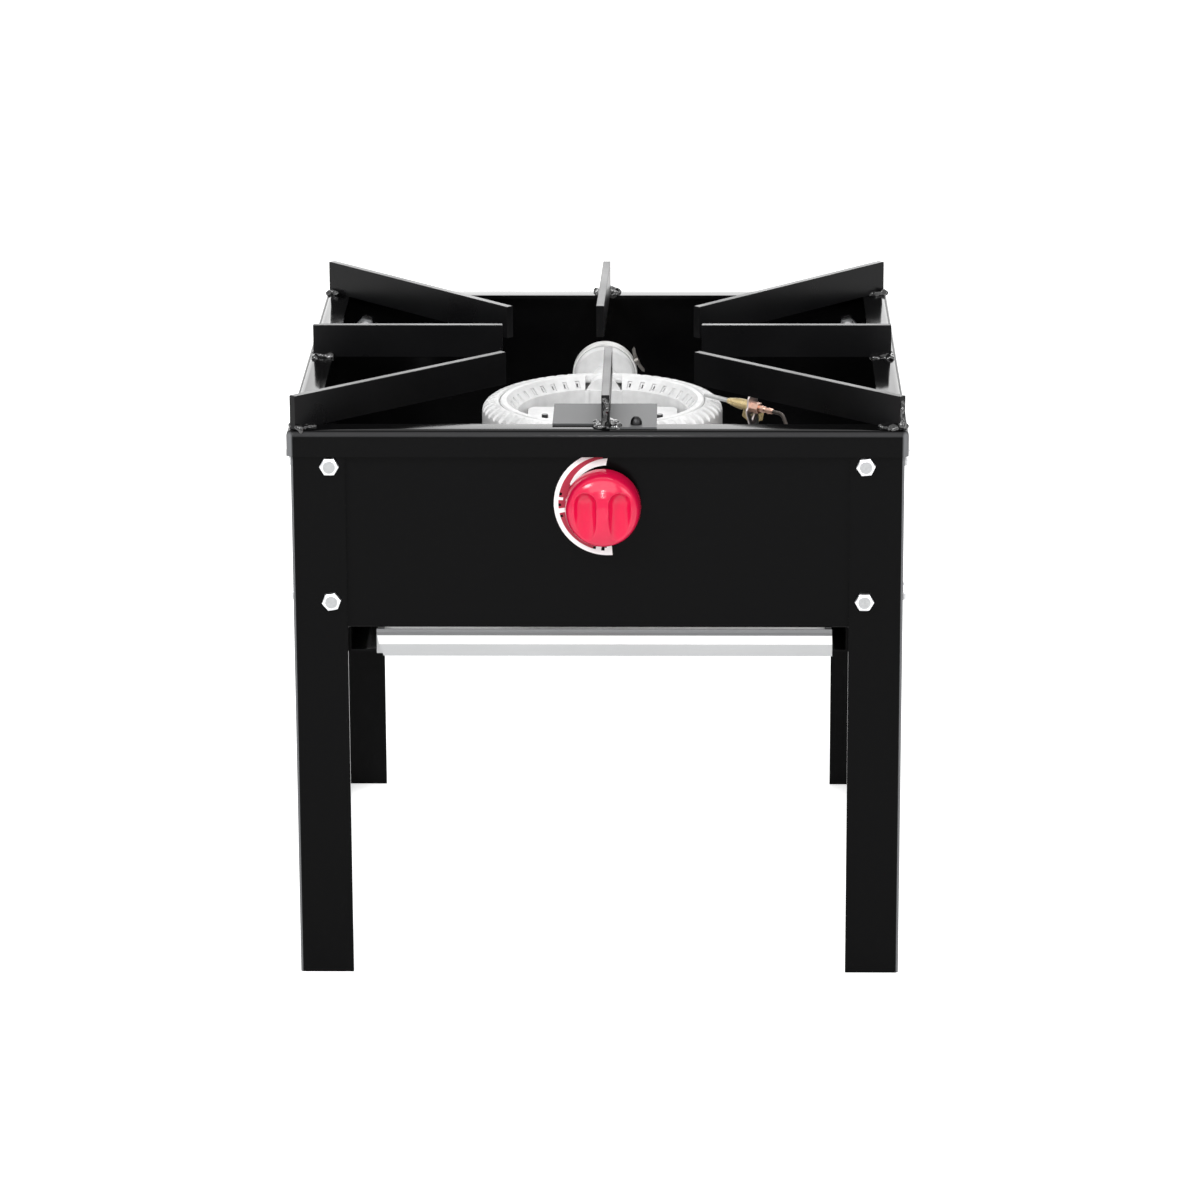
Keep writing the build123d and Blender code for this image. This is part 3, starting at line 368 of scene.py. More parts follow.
def cast_silver(colour):
    """Grey iron, sand cast and painted with silver heat paint: pale and satin, with the sand's grain."""
    material, tree, place = blank("cast_iron_silver_paint")
    # sand grain of 0.5 to 1 mm, drawn at 1.2 mm so that it shows, on shallow lumps of 8 mm
    grain = noise(tree, place, 850.0, 3.0, roughness=0.6)
    lump = noise(tree, place, 120.0, 2.0)
    return surfaced(material, {
        "Base Color": blend(tree, lump, colour, linear("cccccc")),
        "Metallic": 0.1,
        "Roughness": 0.5,
        "Normal": bumps(tree, result(tree, "ADD", grain, lump), 0.35, 0.35 * MM),
    })


def moulded_plastic(name, colour, roughness):
    """Heat resistant plastic, injection moulded and glossy, with a very faint flow in its colour."""
    material, tree, place = blank(name)
    flow = noise(tree, place, 35.0, 1.0, distortion=0.6)
    deep = [c * 0.86 for c in colour[:3]] + [1.0]
    # the faint unevenness of a polished mould
    skin = noise(tree, place, 400.0, 1.0)
    return surfaced(material, {
        "Base Color": blend(tree, flow, colour, deep),
        "Roughness": roughness,
        "IOR": 1.5,
        "Specular IOR Level": 0.42,
        "Normal": bumps(tree, skin, 0.03, 0.1 * MM),
    })


def screen_print(name, colour, shade):
    """Screen printed ink: flat and matt, a little thinner where the mesh let less through."""
    material, tree, place = blank(name)
    # the screen's mesh is under 0.1 mm, drawn as uneven spots of about 1 mm
    mesh = noise(tree, place, 900.0, 2.0)
    return surfaced(material, {
        "Base Color": blend(tree, mesh, colour, shade),
        "Roughness": 0.5,
        "Specular IOR Level": 0.3,
    })


def roll_lines(tree, place):
    """The fine lines that the rolls leave along a sheet."""
    # under 0.1 mm on the sheet, drawn at 0.5 mm across and 25 mm long
    across, along = 0.5 * MM, 25 * MM
    stretch = add_node(tree, "ShaderNodeMapping",
                       {"Vector": place, "Scale": (1 / along, 1 / across, 1 / across)})
    return bumps(tree, noise(tree, stretch.outputs[0], 1.0, 3.0), 0.08, 0.05 * MM)


def aluminised_sheet(colour, shaded_strip_foot):
    """Aluminised sheet: satin and pale, with painted light on the slopes that look up and painted shade in
    its top strip.
    """
    material, tree, place = blank("aluminised_sheet_steel")
    bloom = noise(tree, place, 12.0, 2.0)
    soft = [c * 0.88 for c in colour[:3]] + [1.0]
    tone = blend(tree, bloom, colour, soft)
    normal = add_node(tree, "ShaderNodeNewGeometry", {}).outputs["Normal"]
    up = add_node(tree, "ShaderNodeSeparateXYZ", {0: normal}).outputs["Z"]
    # the normal's Z where the painted light on a slope begins and where it is full
    slope = scaled(tree, up, 0.15, 0.4, 0.0, 1.0)
    # painted light: slopes that look up are drawn near white
    tone = blend(tree, slope, tone, linear("fdfdfd"))
    # painted shade: the strip along the top, under the panel's edge, is drawn grey
    high = add_node(tree, "ShaderNodeSeparateXYZ", {0: place}).outputs["Z"]
    blur = 0.2 * MM
    top = scaled(tree, high, shaded_strip_foot - blur, shaded_strip_foot + blur, 0.0, 1.0)
    return surfaced(material, {
        "Base Color": blend(tree, top, tone, linear("757677")),
        "Metallic": 0.2,
        "Roughness": 0.5,
        "Normal": roll_lines(tree, place),
    })


def rolled_sheet(name, colour, shade, roughness, metallic):
    """Rolled sheet metal: plain, with the fine lines of the rolls along it and a dull oxide bloom."""
    material, tree, place = blank(name)
    bloom = noise(tree, place, 40.0, 3.0)
    return surfaced(material, {
        "Base Color": blend(tree, bloom, colour, shade),
        "Metallic": metallic,
        "Roughness": roughness,
        "Normal": roll_lines(tree, place),
    })


def plain_metal(name, colour, shade, roughness):
    """Turned, drawn or pressed metal: even in colour, with a faint haze from handling."""
    material, tree, place = blank(name)
    haze = noise(tree, place, 260.0, 3.0)
    return surfaced(material, {
        "Base Color": blend(tree, haze, colour, shade),
        "Metallic": 1.0,
        "Roughness": scaled(tree, haze, 0.0, 1.0, roughness - 0.08, roughness + 0.1),
    })


# Operators, one for each piece or group of like pieces

class StageOperator(bpy.types.Operator):
    """Set the floor, the white surroundings, the lamps and the camera"""
    bl_idname = "stove.stage"
    bl_label = "Stage"

    def execute(self, context):
        deselect()
        bpy.ops.mesh.primitive_plane_add(size=16, location=(0, 0, 0))
        floor = context.active_object
        floor.name = "floor"
        floor.data.materials.append(self.floor_finish())
        self.surroundings(context.scene)
        target = Vector((0, 0, 0.3))
        # place and size in metres, power in watts
        lamps = {
            "key_lamp": ((-1.9, -2.6, 2.9), (1.0, 0.8), 52),
            "front_lamp": ((0.0, -2.9, 2.7), (3.2, 2.4), 60),
            "flash_lamp": ((0.0, -4.3, 2.1), (0.3, 0.22), 24),
            "fill_lamp": ((2.6, -2.0, 1.9), (1.4, 1.4), 24),
            "top_lamp": ((0.2, 1.5, 3.2), (1.8, 1.4), 34),
            "back_lamp": ((0.0, 3.4, 1.25), (3.8, 1.1), 40),
        }
        for name, (place, size, power) in lamps.items():
            bpy.ops.object.light_add(type="AREA", location=place)
            lamp = context.active_object
            lamp.name = name
            lamp.rotation_euler = (target - Vector(place)).to_track_quat("-Z", "Y").to_euler()
            lamp.data.shape = "RECTANGLE"
            lamp.data.size, lamp.data.size_y = size
            lamp.data.energy = power
        self.camera(context)
        context.scene.view_settings.view_transform = "Standard"
        return {"FINISHED"}

    def plain_rays(self, tree):
        """1 for rays from the camera, from glossy surfaces and through glass, else 0."""
        rays = add_node(tree, "ShaderNodeLightPath", {}).outputs
        seen = result(tree, "MAXIMUM", rays["Is Camera Ray"], rays["Is Glossy Ray"])
        return result(tree, "MAXIMUM", seen, rays["Is Transmission Ray"])

    def floor_finish(self):
        """Seamless white paper: white to the eye, and it keeps the shadow."""
        material, tree, place = blank("studio_paper")
        fibre = noise(tree, place, 3.0, 2.0)
        return surfaced(material, {
            "Base Color": blend(tree, fibre, linear("f2f2f2"), linear("eeeeee")),
            "Roughness": 0.9,
            "Specular IOR Level": 0.1,
            "Emission Color": (1, 1, 1, 1),
            "Emission Strength": result(tree, "MULTIPLY", self.plain_rays(tree), 0.6),
        })

    def surroundings(self, scene):
        """A white studio that lights the stove less than it shows white, so that black stays black."""
        dim, white = (0.42, 0.42, 0.42, 1), (1, 1, 1, 1)
        world = bpy.data.worlds.new("white_studio")
        scene.world = world
        world.use_nodes = True
        tree = world.node_tree
        tree.nodes.clear()
        shade = blend(tree, self.plain_rays(tree), dim, white)
        light = add_node(tree, "ShaderNodeBackground", {"Color": shade})
        add_node(tree, "ShaderNodeOutputWorld", {"Surface": light.outputs[0]})

    def camera(self, context):
        """The photo's camera: its place in metres, its turns in degrees and its lens in millimetres."""
        stand = (0.06528, -3.90265, 1.37819)
        pan, tilt, roll = 0.992, 73.553, -0.212
        lens = 155.95
        bpy.ops.object.camera_add(location=stand)
        camera = context.active_object
        camera.name = "camera"
        turn = Matrix.Rotation(math.radians(pan), 4, "Z") @ Matrix.Rotation(math.radians(tilt), 4, "X")
        camera.rotation_euler = (turn @ Matrix.Rotation(math.radians(roll), 4, "Z")).to_euler()
        camera.data.lens = lens
        context.scene.camera = camera


class AngleFrameOperator(bpy.types.Operator):
    """Model the welded frame of angle steel with the rolled edge that its angle has"""
    bl_idname = "stove.angle_frame"
    bl_label = "Angle frame"

    def execute(self, context):
        sizes = context.scene.stove_sizes
        wall = sizes.angle_wall
        flange = sizes.angle_flange
        high = frame_top - frame_low
        piece = self.block(context, frame_half, frame_low, frame_top)
        # the corners are rounder than the edge, or the two bevels would meet in a point
        rounder = 1 * MM
        choose(piece, lambda edge: abs(edge.verts[0].co.z - edge.verts[1].co.z) > high / 2, "EDGE")
        bpy.ops.mesh.bevel(offset=sizes.angle_edge + rounder, segments=8)
        leave_edit()
        choose(piece, lambda face: face.normal.z > 0.9)
        bpy.ops.mesh.region_to_loop()
        bpy.ops.mesh.bevel(offset=sizes.angle_edge, segments=8)
        leave_edit()
        # hollow it under the flange, then open the flange's middle
        for half, low, top in ((frame_half - wall, frame_low - high, frame_top - wall),
                               (frame_half - flange, frame_low - high, frame_top + high)):
            inside = self.block(context, half, low, top)
            modify(piece, "BOOLEAN", operation="DIFFERENCE", object=inside, solver="EXACT")
            bpy.data.objects.remove(inside)
        coat = stove_enamel("stove_enamel_on_angle", list(context.scene.stove_colours.enamel),
                            linear("070707"), 0.03, 0.055, 0.1)
        settle(piece, "angle_frame", coat, "frame", 30, ["top_frame"])
        return {"FINISHED"}

    def block(self, context, half, low, top):
        """A square block about the middle of the stove."""
        deselect()
        bpy.ops.mesh.primitive_cube_add(size=1, location=(0, 0, (low + top) / 2),
                                        scale=(2 * half, 2 * half, top - low))
        piece = context.active_object
        apply_place(piece)
        return piece


class EnamelOperator(bpy.types.Operator):
    """Coat the legs, panels, pan supports, runners and support bar with black stove enamel"""
    bl_idname = "stove.enamel"
    bl_label = "Enamelled body"

    def execute(self, context):
        colour = list(context.scene.stove_colours.enamel)
        body = stove_enamel("stove_enamel_on_sheet", colour, linear("070707"), 0.04, 0.05, 0.15)
        panels = ["front_panel", "back_panel", "left_panel", "right_panel"]
        legs = ["leg_" + name for name in ("front_left", "front_right", "rear_left", "rear_right")]
        finish_nodes(body, "tray_runner_left", "tray_runner_right", "burner_support_bar",
                     *panels, *legs)
        bars = stove_enamel("stove_enamel_on_flat_bar", linear("0c0c0d"), linear("101011"), 0.12, 0.12, 0.3,
                            False)
        finish_nodes(bars, *[name for name in nodes if name.startswith("support_")])
        return {"FINISHED"}


class BurnerOperator(bpy.types.Operator):
    """Finish the cast ring burner, its cap, air shutter and wing screw"""
    bl_idname = "stove.burner"
    bl_label = "Burner"

    def execute(self, context):
        finish_nodes(cast_silver(list(context.scene.stove_colours.casting)), "burner_body", "burner_cap")
        pressed = rolled_sheet("pressed_aluminium_satin", linear("f2f2f0"), linear("e4e4e2"), 0.45, 0.2)
        finish_nodes(pressed, "air_shutter")
        screw = plain_metal("turned_steel_dull", linear("a5a19c"), linear("6a6763"), 0.35)
        finish_nodes(screw, "shutter_lock_screw")
        return {"FINISHED"}


class GasFittingsOperator(bpy.types.Operator):
    """Finish the valve, injector, pipes, hose nozzle and flame sensor"""
    bl_idname = "stove.gas_fittings"
    bl_label = "Gas fittings"

    def execute(self, context):
        brass = plain_metal("machined_brass", linear("efdcae"), linear("c8ac72"), 0.28)
        finish_nodes(brass, "injector_holder", "injector_jet", "valve_body", "valve_fittings",
                     "magnet_unit", "collar_nut", "inlet_nozzle", "inlet_lock_nut", "thermocouple_sleeve")
        copper = plain_metal("drawn_copper", linear("f0cdbb"), linear("c99b86"), 0.3)
        finish_nodes(copper, "thermocouple_ferrule", "thermocouple_nut")
        sooted = plain_metal("sooted_copper_tube", linear("5e5854"), linear("3b3633"), 0.45)
        finish_nodes(sooted, "thermocouple_lead")
        nickel = plain_metal("nickel_plated_steel", linear("f4ecea"), linear("dccfcc"), 0.35)
        finish_nodes(nickel, "thermocouple_bracket")
        tube = plain_metal("drawn_aluminium_tube", linear("cfd0d1"), linear("b4b5b7"), 0.3)
        finish_nodes(tube, "burner_pipe", "supply_pipe")
        steel = plain_metal("turned_steel", linear("dcdcdb"), linear("b8b8b8"), 0.3)
        finish_nodes(steel, "spindle", "push_pin", "thermocouple_tip")
        self.return_spring(context, steel)
        return {"FINISHED"}

    def return_spring(self, context, steel):
        """Wind the valve's return spring as it sits at rest; in the stove the knob's push squashes it."""
        low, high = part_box("return_spring")
        centre = (low + high) / 2
        deep = high.y - low.y
        wide = (high.x - low.x) / 2
        points = [v.co for v in nodes["return_spring"].data.vertices]
        narrow = min(math.hypot(p.x - centre.x, p.z - centre.z) for p in points)
        wire = (wide - narrow) / 2
        # pushed right in, the turns still don't touch
        pitch = 3.4 * wire
        turns = int((deep - 2 * wire) / pitch)
        deselect()
        bpy.ops.mesh.primitive_circle_add(vertices=10, radius=wire, location=(narrow + wire, 0, 0))
        coil = context.active_object
        apply_place(coil)
        modify(coil, "SCREW", axis="Y", angle=2 * math.pi, iterations=turns, steps=24, render_steps=24,
               screw_offset=(deep - 2 * wire) / turns)
        choose(coil, lambda vertex: True, "VERT")
        bpy.ops.mesh.fill_holes(sides=0)
        bpy.ops.mesh.normals_make_consistent(inside=False)
        leave_edit()
        coil.location = (centre.x, low.y + wire, centre.z)
        settle(coil, "return_spring_wound", steel, "frame", 60, ["return_spring"])
        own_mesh(coil)


class SheetOperator(bpy.types.Operator):
    """Finish the heat shield and the drip tray"""
    bl_idname = "stove.sheet"
    bl_label = "Shield and tray"

    def execute(self, context):
        colours = context.scene.stove_colours
        shield = rolled_sheet("cold_rolled_sheet", list(colours.shield), linear("464748"), 0.55, 0.1)
        finish_nodes(shield, "heat_shield")
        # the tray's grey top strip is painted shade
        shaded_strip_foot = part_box("drip_tray")[1].z - context.scene.stove_sizes.tray_shaded_strip
        finish_nodes(aluminised_sheet(list(colours.tray), shaded_strip_foot), "drip_tray")
        return {"FINISHED"}


class BoltsOperator(bpy.types.Operator):
    """Model the leg bolts and the heat shield's screw, and finish the other screws and nuts"""
    bl_idname = "stove.bolts"
    bl_label = "Bolts"

    def execute(self, context):
        sizes = context.scene.stove_sizes
        bright = list(context.scene.stove_colours.zinc)
        zinc = plated_metal("zinc_plated_steel", bright, linear("dcdddf"), 0.34, 3 * MM)
        # the darker plating for the heads' hollows: its grey colour is painted shade, its roughness a duller
        # finish
        hollow_shade = plated_metal("zinc_plated_steel_hollow_shade", linear("b4b5b6"), linear("9a9b9c"), 0.5,
                               1.5 * MM)
        bolt = join([self.head(context, sizes, zinc, hollow_shade), self.shank(context, sizes)])
        bolts = copies(bolt, self.places(sizes))
        settle(bolts, "leg_bolts_formed", zinc, "frame", 30, ["leg_bolts"])
        finish_nodes(zinc, "leg_nuts", "shield_nut", "runner_rivets", "bracket_screw")
        dark = plain_metal("blackened_screw_steel", linear("4a4a4b"), linear("1c1c1d"), 0.3)
        finish_nodes(dark, "burner_bolts")
        screw = self.round_screw(context, sizes)
        settle(screw, "shield_screw_formed", dark, "frame", 40, ["shield_screw"])
        return {"FINISHED"}

    def head(self, context, sizes, zinc, hollow_shade):
        """A leg bolt's head, with a rougher, darker plating in the hollow that the forming punch leaves in
        its face; the darker colour is painted shade.
        """
        flat = sizes.bolt_flats / 2
        high = sizes.bolt_head
        rim = 1.6 * MM
        slope = 0.8 * MM
        hollow = 0.5 * MM
        shade_radius = 2.9 * MM
        edge = 0.18 * MM
        corner = flat / math.cos(math.radians(30))
        deselect()
        bpy.ops.mesh.primitive_cylinder_add(vertices=6, radius=corner, depth=high,
                                            location=(0, 0, high / 2))
        piece = context.active_object
        self.chamfer(context, piece, flat, high)
        choose(piece, lambda face: face.normal.z > 0.99 and face.calc_center_median().z > high * 0.9)
        bpy.ops.mesh.inset(thickness=rim)
        bpy.ops.mesh.inset(thickness=slope, depth=-hollow)
        leave_edit()
        modify(piece, "BEVEL", width=edge, segments=2, limit_method="ANGLE", angle_limit=math.radians(28))
        for material in (zinc, hollow_shade):
            piece.data.materials.append(material)
        # painted shade: the hollow in the face takes the darker plating
        choose(piece, lambda face: face.normal.z > 0.5 and face.calc_center_median().xy.length < shade_radius)
        piece.active_material_index = 1
        bpy.ops.object.material_slot_assign()
        leave_edit()
        return piece

    def shank(self, context, sizes):
        """A leg bolt's shank, down from its head to its chamfered end."""
        chamfer = 0.8 * MM
        reach = sizes.bolt_reach
        deselect()
        bpy.ops.mesh.primitive_cylinder_add(vertices=24, radius=sizes.bolt_shank / 2, depth=reach,
                                            location=(0, 0, -reach / 2))
        piece = context.active_object
        choose(piece, lambda face: face.normal.z < -0.9)
        bpy.ops.mesh.bevel(offset=chamfer, segments=1)
        leave_edit()
        return piece

    def round_screw(self, context, sizes):
        """The heat shield's screw where the frame has it: half a stretched ball on a shank."""
        low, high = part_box("shield_screw")
        axis = (low + high) / 2
        points = [v.co for v in nodes["shield_screw"].data.vertices]
        # the head's foot is the lowest place where the screw is at its widest
        seat = min(p.z for p in points if p.x - axis.x > 0.9 * (high.x - axis.x))
        hair = 0.02 * MM
        sunk = 0.5 * MM
        deselect()
        bpy.ops.mesh.primitive_uv_sphere_add(segments=32, ring_count=24, radius=1,
                                             location=(axis.x, axis.y, seat))
        head = context.active_object
        head.scale = (sizes.round_head / 2, sizes.round_head / 2, sizes.round_high)
        apply_place(head)
        choose(head, lambda face: True)
        bpy.ops.mesh.bisect(plane_co=(axis.x, axis.y, seat + hair), plane_no=(0, 0, 1), use_fill=True,
                            clear_inner=True)
        leave_edit()
        deselect()
        reach = seat + sunk - low.z
        bpy.ops.mesh.primitive_cylinder_add(vertices=24, radius=sizes.round_shank / 2, depth=reach,
                                            location=(axis.x, axis.y, low.z + reach / 2))
        return join([head, context.active_object])

    def chamfer(self, context, head, flat, high):
        """Trim the six corners of a hexagon head with a cone that falls 30 degrees from its flat face."""
        steep = math.tan(math.radians(30))
        face = 0.76 * flat
        over = 1 * MM
        deep = high + 2 * over
        top = face - over / steep
        deselect()
        bpy.ops.mesh.primitive_cone_add(vertices=48, radius1=top + deep / steep, radius2=top, depth=deep,
                                        location=(0, 0, high + over - deep / 2))
        cone = context.active_object
        modify(head, "BOOLEAN", operation="INTERSECT", object=cone, solver="EXACT")
        bpy.data.objects.remove(cone)

    def places(self, sizes):
        """The seat of each bolt, with its head looking out of the leg, each turned as it was tightened."""
        corner = sizes.bolt_flats / 2 / math.cos(math.radians(30))
        upper = frame_low - sizes.bolt_gap - corner
        across = leg_half - sizes.bolt_inset
        made = []
        number = 0
        # each leg has an upper and a lower pair, one bolt on each of its two faces
        for sx, sy in CORNERS:
            for level in (upper, upper - sizes.bolt_pitch):
                for out, at in (((0, sy, 0), (sx * across, sy * leg_half, level)),
                                ((sx, 0, 0), (sx * leg_half, sy * across, level))):
                    turn = Matrix.Rotation(math.radians(30 + 5 * (number % 3)), 4, "Z")
                    aim = Vector(out).to_track_quat("Z", "Y").to_matrix().to_4x4()
                    made.append(Matrix.Translation(at) @ aim @ turn)
                    number += 1
        return made


class WeldsOperator(bpy.types.Operator):
    """Lay the weld beads at the feet of the pan supports"""
    bl_idname = "stove.welds"
    bl_label = "Weld beads"

    def execute(self, context):
        bead = self.bead(context, context.scene.stove_sizes)
        chance = random.Random(11)
        places = []
        for name in sorted(nodes):
            if name.startswith("support_"):
                places += self.foot(name, chance)
        beads = copies(bead, places)
        apply_place(beads)
        # uneven lumps, so that no two beads are alike
        lumps = bpy.data.textures.new("weld_lumps", "CLOUDS")
        lumps.noise_scale = 6 * MM
        lumps.noise_depth = 1
        modify(beads, "DISPLACE", texture=lumps, strength=5 * MM, mid_level=0.5,
               texture_coords="GLOBAL")
        modify(beads, "SMOOTH", factor=0.5, iterations=5)
        self.keep_inside(beads)
        coat = stove_enamel("stove_enamel_on_weld", linear("090909"), linear("0e0e0f"), 0.1, 0.9, 0.13,
                            False)
        settle(beads, "weld_beads", coat, "frame", 60)
        return {"FINISHED"}

    def bead(self, context, sizes):
        """A row of overlapping ripples along X, half sunk in the corner it fills."""
        step = sizes.weld_step
        overlap = 0.78
        deselect()
        bpy.ops.mesh.primitive_ico_sphere_add(subdivisions=3, radius=1)
        piece = context.active_object
        piece.scale = (step * overlap, sizes.weld_width / 2, sizes.weld_width / 2)
        apply_place(piece)
        modify(piece, "ARRAY", fit_type="FIXED_COUNT", count=round(sizes.weld_length / step),
               use_relative_offset=False, use_constant_offset=True, constant_offset_displace=(step, 0, 0))
        modify(piece, "REMESH", mode="VOXEL", voxel_size=0.7 * MM)
        modify(piece, "SMOOTH", factor=0.5, iterations=2)
        choose(piece, lambda vertex: True, "VERT")
        bpy.ops.transform.translate(value=(-sizes.weld_length / 2 + step / 2, 0, 0))
        leave_edit()
        return piece

    def foot(self, name, chance):
        """The beads of a support: along both sides of its foot, across its end, and thinly up some ends."""
        foot_height, end_length = 3 * MM, 8 * MM
        beside, sunk, middle = 4.2 * MM, 0.1 * MM, 12 * MM
        points = [v.co for v in nodes[name].data.vertices if v.co.z < frame_top + foot_height]
        # the outer end is the foot's corners near the one farthest out
        far = max(points, key=lambda p: max(abs(p.x), abs(p.y)) * 10 + p.length)
        ends = [p for p in points if (p - far).length < end_length]
        outer = sum(ends, Vector()) / len(ends)
        along = sum(points, Vector()) / len(points) - outer
        along.z = 0
        along.normalize()
        side = Vector((-along.y, along.x, 0))
        yaw = math.atan2(along.y, along.x)
        turn = Matrix.Rotation(yaw, 4, "Z")
        start = Vector((outer.x, outer.y, frame_top))
        # each size holds factors of a bead's length, width and height
        made = []
        for way in (-1, 1):
            at = start + along * chance.uniform(8, 10) * MM + side * way * beside
            size = Matrix.Diagonal((chance.uniform(0.9, 1.2), chance.uniform(1.0, 1.4), 0.8, 1))
            made.append(Matrix.Translation(at) @ turn @ size)
        # the bead across the end is shorter and further in where the support meets a corner aslant
        cross = Matrix.Rotation(yaw + math.pi / 2, 4, "Z")
        slanting = min(abs(along.x), abs(along.y)) > 0.3
        at = start + along * (5 if slanting else 1.5) * MM + side * chance.uniform(-2, 2) * MM
        reach = chance.uniform(0.7, 0.9) if slanting else chance.uniform(1.2, 1.5)
        made.append(Matrix.Translation(at) @ cross @ Matrix.Diagonal((reach, 0.9, 0.8, 1)))
        if name in UPRIGHT_WELDS:
            upright = Matrix.Rotation(math.pi / 2, 4, "Y")
            at = start - along * sunk + Vector((0, 0, middle))
            made.append(Matrix.Translation(at) @ turn @ upright @ Matrix.Diagonal((1.3, 0.66, 0.4, 1)))
        return made

    def keep_inside(self, beads):
        """Flatten what would stand out past the frame's sides or above the supports, as a grinder does."""
        proud, below = 1.2 * MM, 0.4 * MM
        side = frame_half + proud
        top = cad_box[1].z - below
        for axis, limit in ((0, side), (0, -side), (1, side), (1, -side), (2, top)):
            sign = 1 if limit > 0 else -1
            choose(beads, lambda vertex: vertex.co[axis] * sign > abs(limit), "VERT")
            value = [1.0, 1.0, 1.0]
            value[axis] = 0.0
            pivot = [0.0, 0.0, 0.0]
            pivot[axis] = limit
            bpy.ops.transform.resize(value=value, center_override=pivot)
            leave_edit()


class DialOperator(bpy.types.Operator):
    """Print the scale round the knob on the front panel"""
    bl_idname = "stove.dial"
    bl_label = "Dial print"

    def execute(self, context):
        sizes = context.scene.stove_sizes
        colours = context.scene.stove_colours
        white = screen_print("screen_print_white", list(colours.dial), linear("f0eeee"))
        red = screen_print("screen_print_red", list(colours.dial_red), linear("96293b"))
        outer = sizes.dial_outer
        inner = outer - sizes.dial_band
        # start and end in degrees from the right, then inner and outer radius: a band, then its ticks
        ink_white = [(88, 275, inner, outer), (268.5, 275, 31.3 * MM, inner),
                     (172.5, 176, 33 * MM, inner), (186.3, 192, 31.8 * MM, inner),
                     (255.5, 262, 33.4 * MM, inner), (266, 268.6, 34 * MM, inner)]
        notched = inner - 2 * MM
        ink_red = [(96, 262.5, 30.5 * MM, notched), (96, 166.8, notched, inner),
                   (170.4, 180.4, notched, inner), (183.6, 194.4, notched, inner),
                   (197.6, 252, notched, inner)]
        pieces = [self.sector(context, sizes, *size, sizes.dial_lift) for size in ink_white]
        pieces.append(self.crescent(context, sizes))
        self.finish(join(pieces), "dial_print_white", white)
        pieces = [self.sector(context, sizes, *size, sizes.dial_red_lift) for size in ink_red]
        self.finish(join(pieces), "dial_print_red", red)
        return {"FINISHED"}

    def centre(self, sizes, lift):
        """The middle of the scale, a little in front of the panel."""
        return Vector((knob_x + sizes.dial_right, panel_y - lift, knob_z + sizes.dial_up))

    def sector(self, context, sizes, start, end, inner, outer, lift):
        """Part of a ring of ink: a radial edge spun about the dial's centre, seen from the front."""
        at = self.centre(sizes, lift)
        wide = outer - inner
        deselect()
        bpy.ops.mesh.primitive_plane_add(size=wide, rotation=(math.pi / 2, 0, 0),
                                         location=at + Vector(((inner + outer) / 2, 0, wide / 2)))
        piece = context.active_object
        apply_place(piece)
        choose(piece, lambda vertex: vertex.co.z > at.z + wide / 2, "VERT")
        bpy.ops.mesh.delete(type="VERT")
        bpy.ops.mesh.select_all(action="SELECT")
        bpy.ops.mesh.spin(steps=max(2, round((end - start) / 2)), angle=math.radians(end - start),
                          center=at, axis=(0, 1, 0))
        leave_edit()
        turn = Matrix.Rotation(math.radians(-start), 4, "Y")
        piece.matrix_world = Matrix.Translation(at) @ turn @ Matrix.Translation(-at) @ piece.matrix_world
        apply_place(piece)
        return piece

    def crescent(self, context, sizes):
        """The inner band that narrows to a point: its outer edge is moved off the centre."""
        start, end = 92.5, 157
        inner, outer = 28.8 * MM, 31.5 * MM
        moved = (1.27 * MM, 0, 2.6 * MM)
        piece = self.sector(context, sizes, start, end, inner, outer, sizes.dial_lift)
        at = self.centre(sizes, sizes.dial_lift)
        choose(piece, lambda vertex: (vertex.co - at).length > (inner + outer) / 2, "VERT")
        bpy.ops.transform.translate(value=moved)
        leave_edit()
        tip = math.radians(end - 1)
        choose(piece, lambda vertex: math.atan2(vertex.co.z - at.z, vertex.co.x - at.x) > tip, "VERT")
        bpy.ops.mesh.merge(type="CENTER")
        leave_edit()
        return piece

    def finish(self, piece, name, material):
        """Give the ink its thickness and turn its faces to the front."""
        choose(piece, lambda face: face.normal.y > 0)
        bpy.ops.mesh.flip_normals()
        leave_edit()
        modify(piece, "SOLIDIFY", thickness=0.08 * MM, offset=-1)
        settle(piece, name, material, "frame", 30)


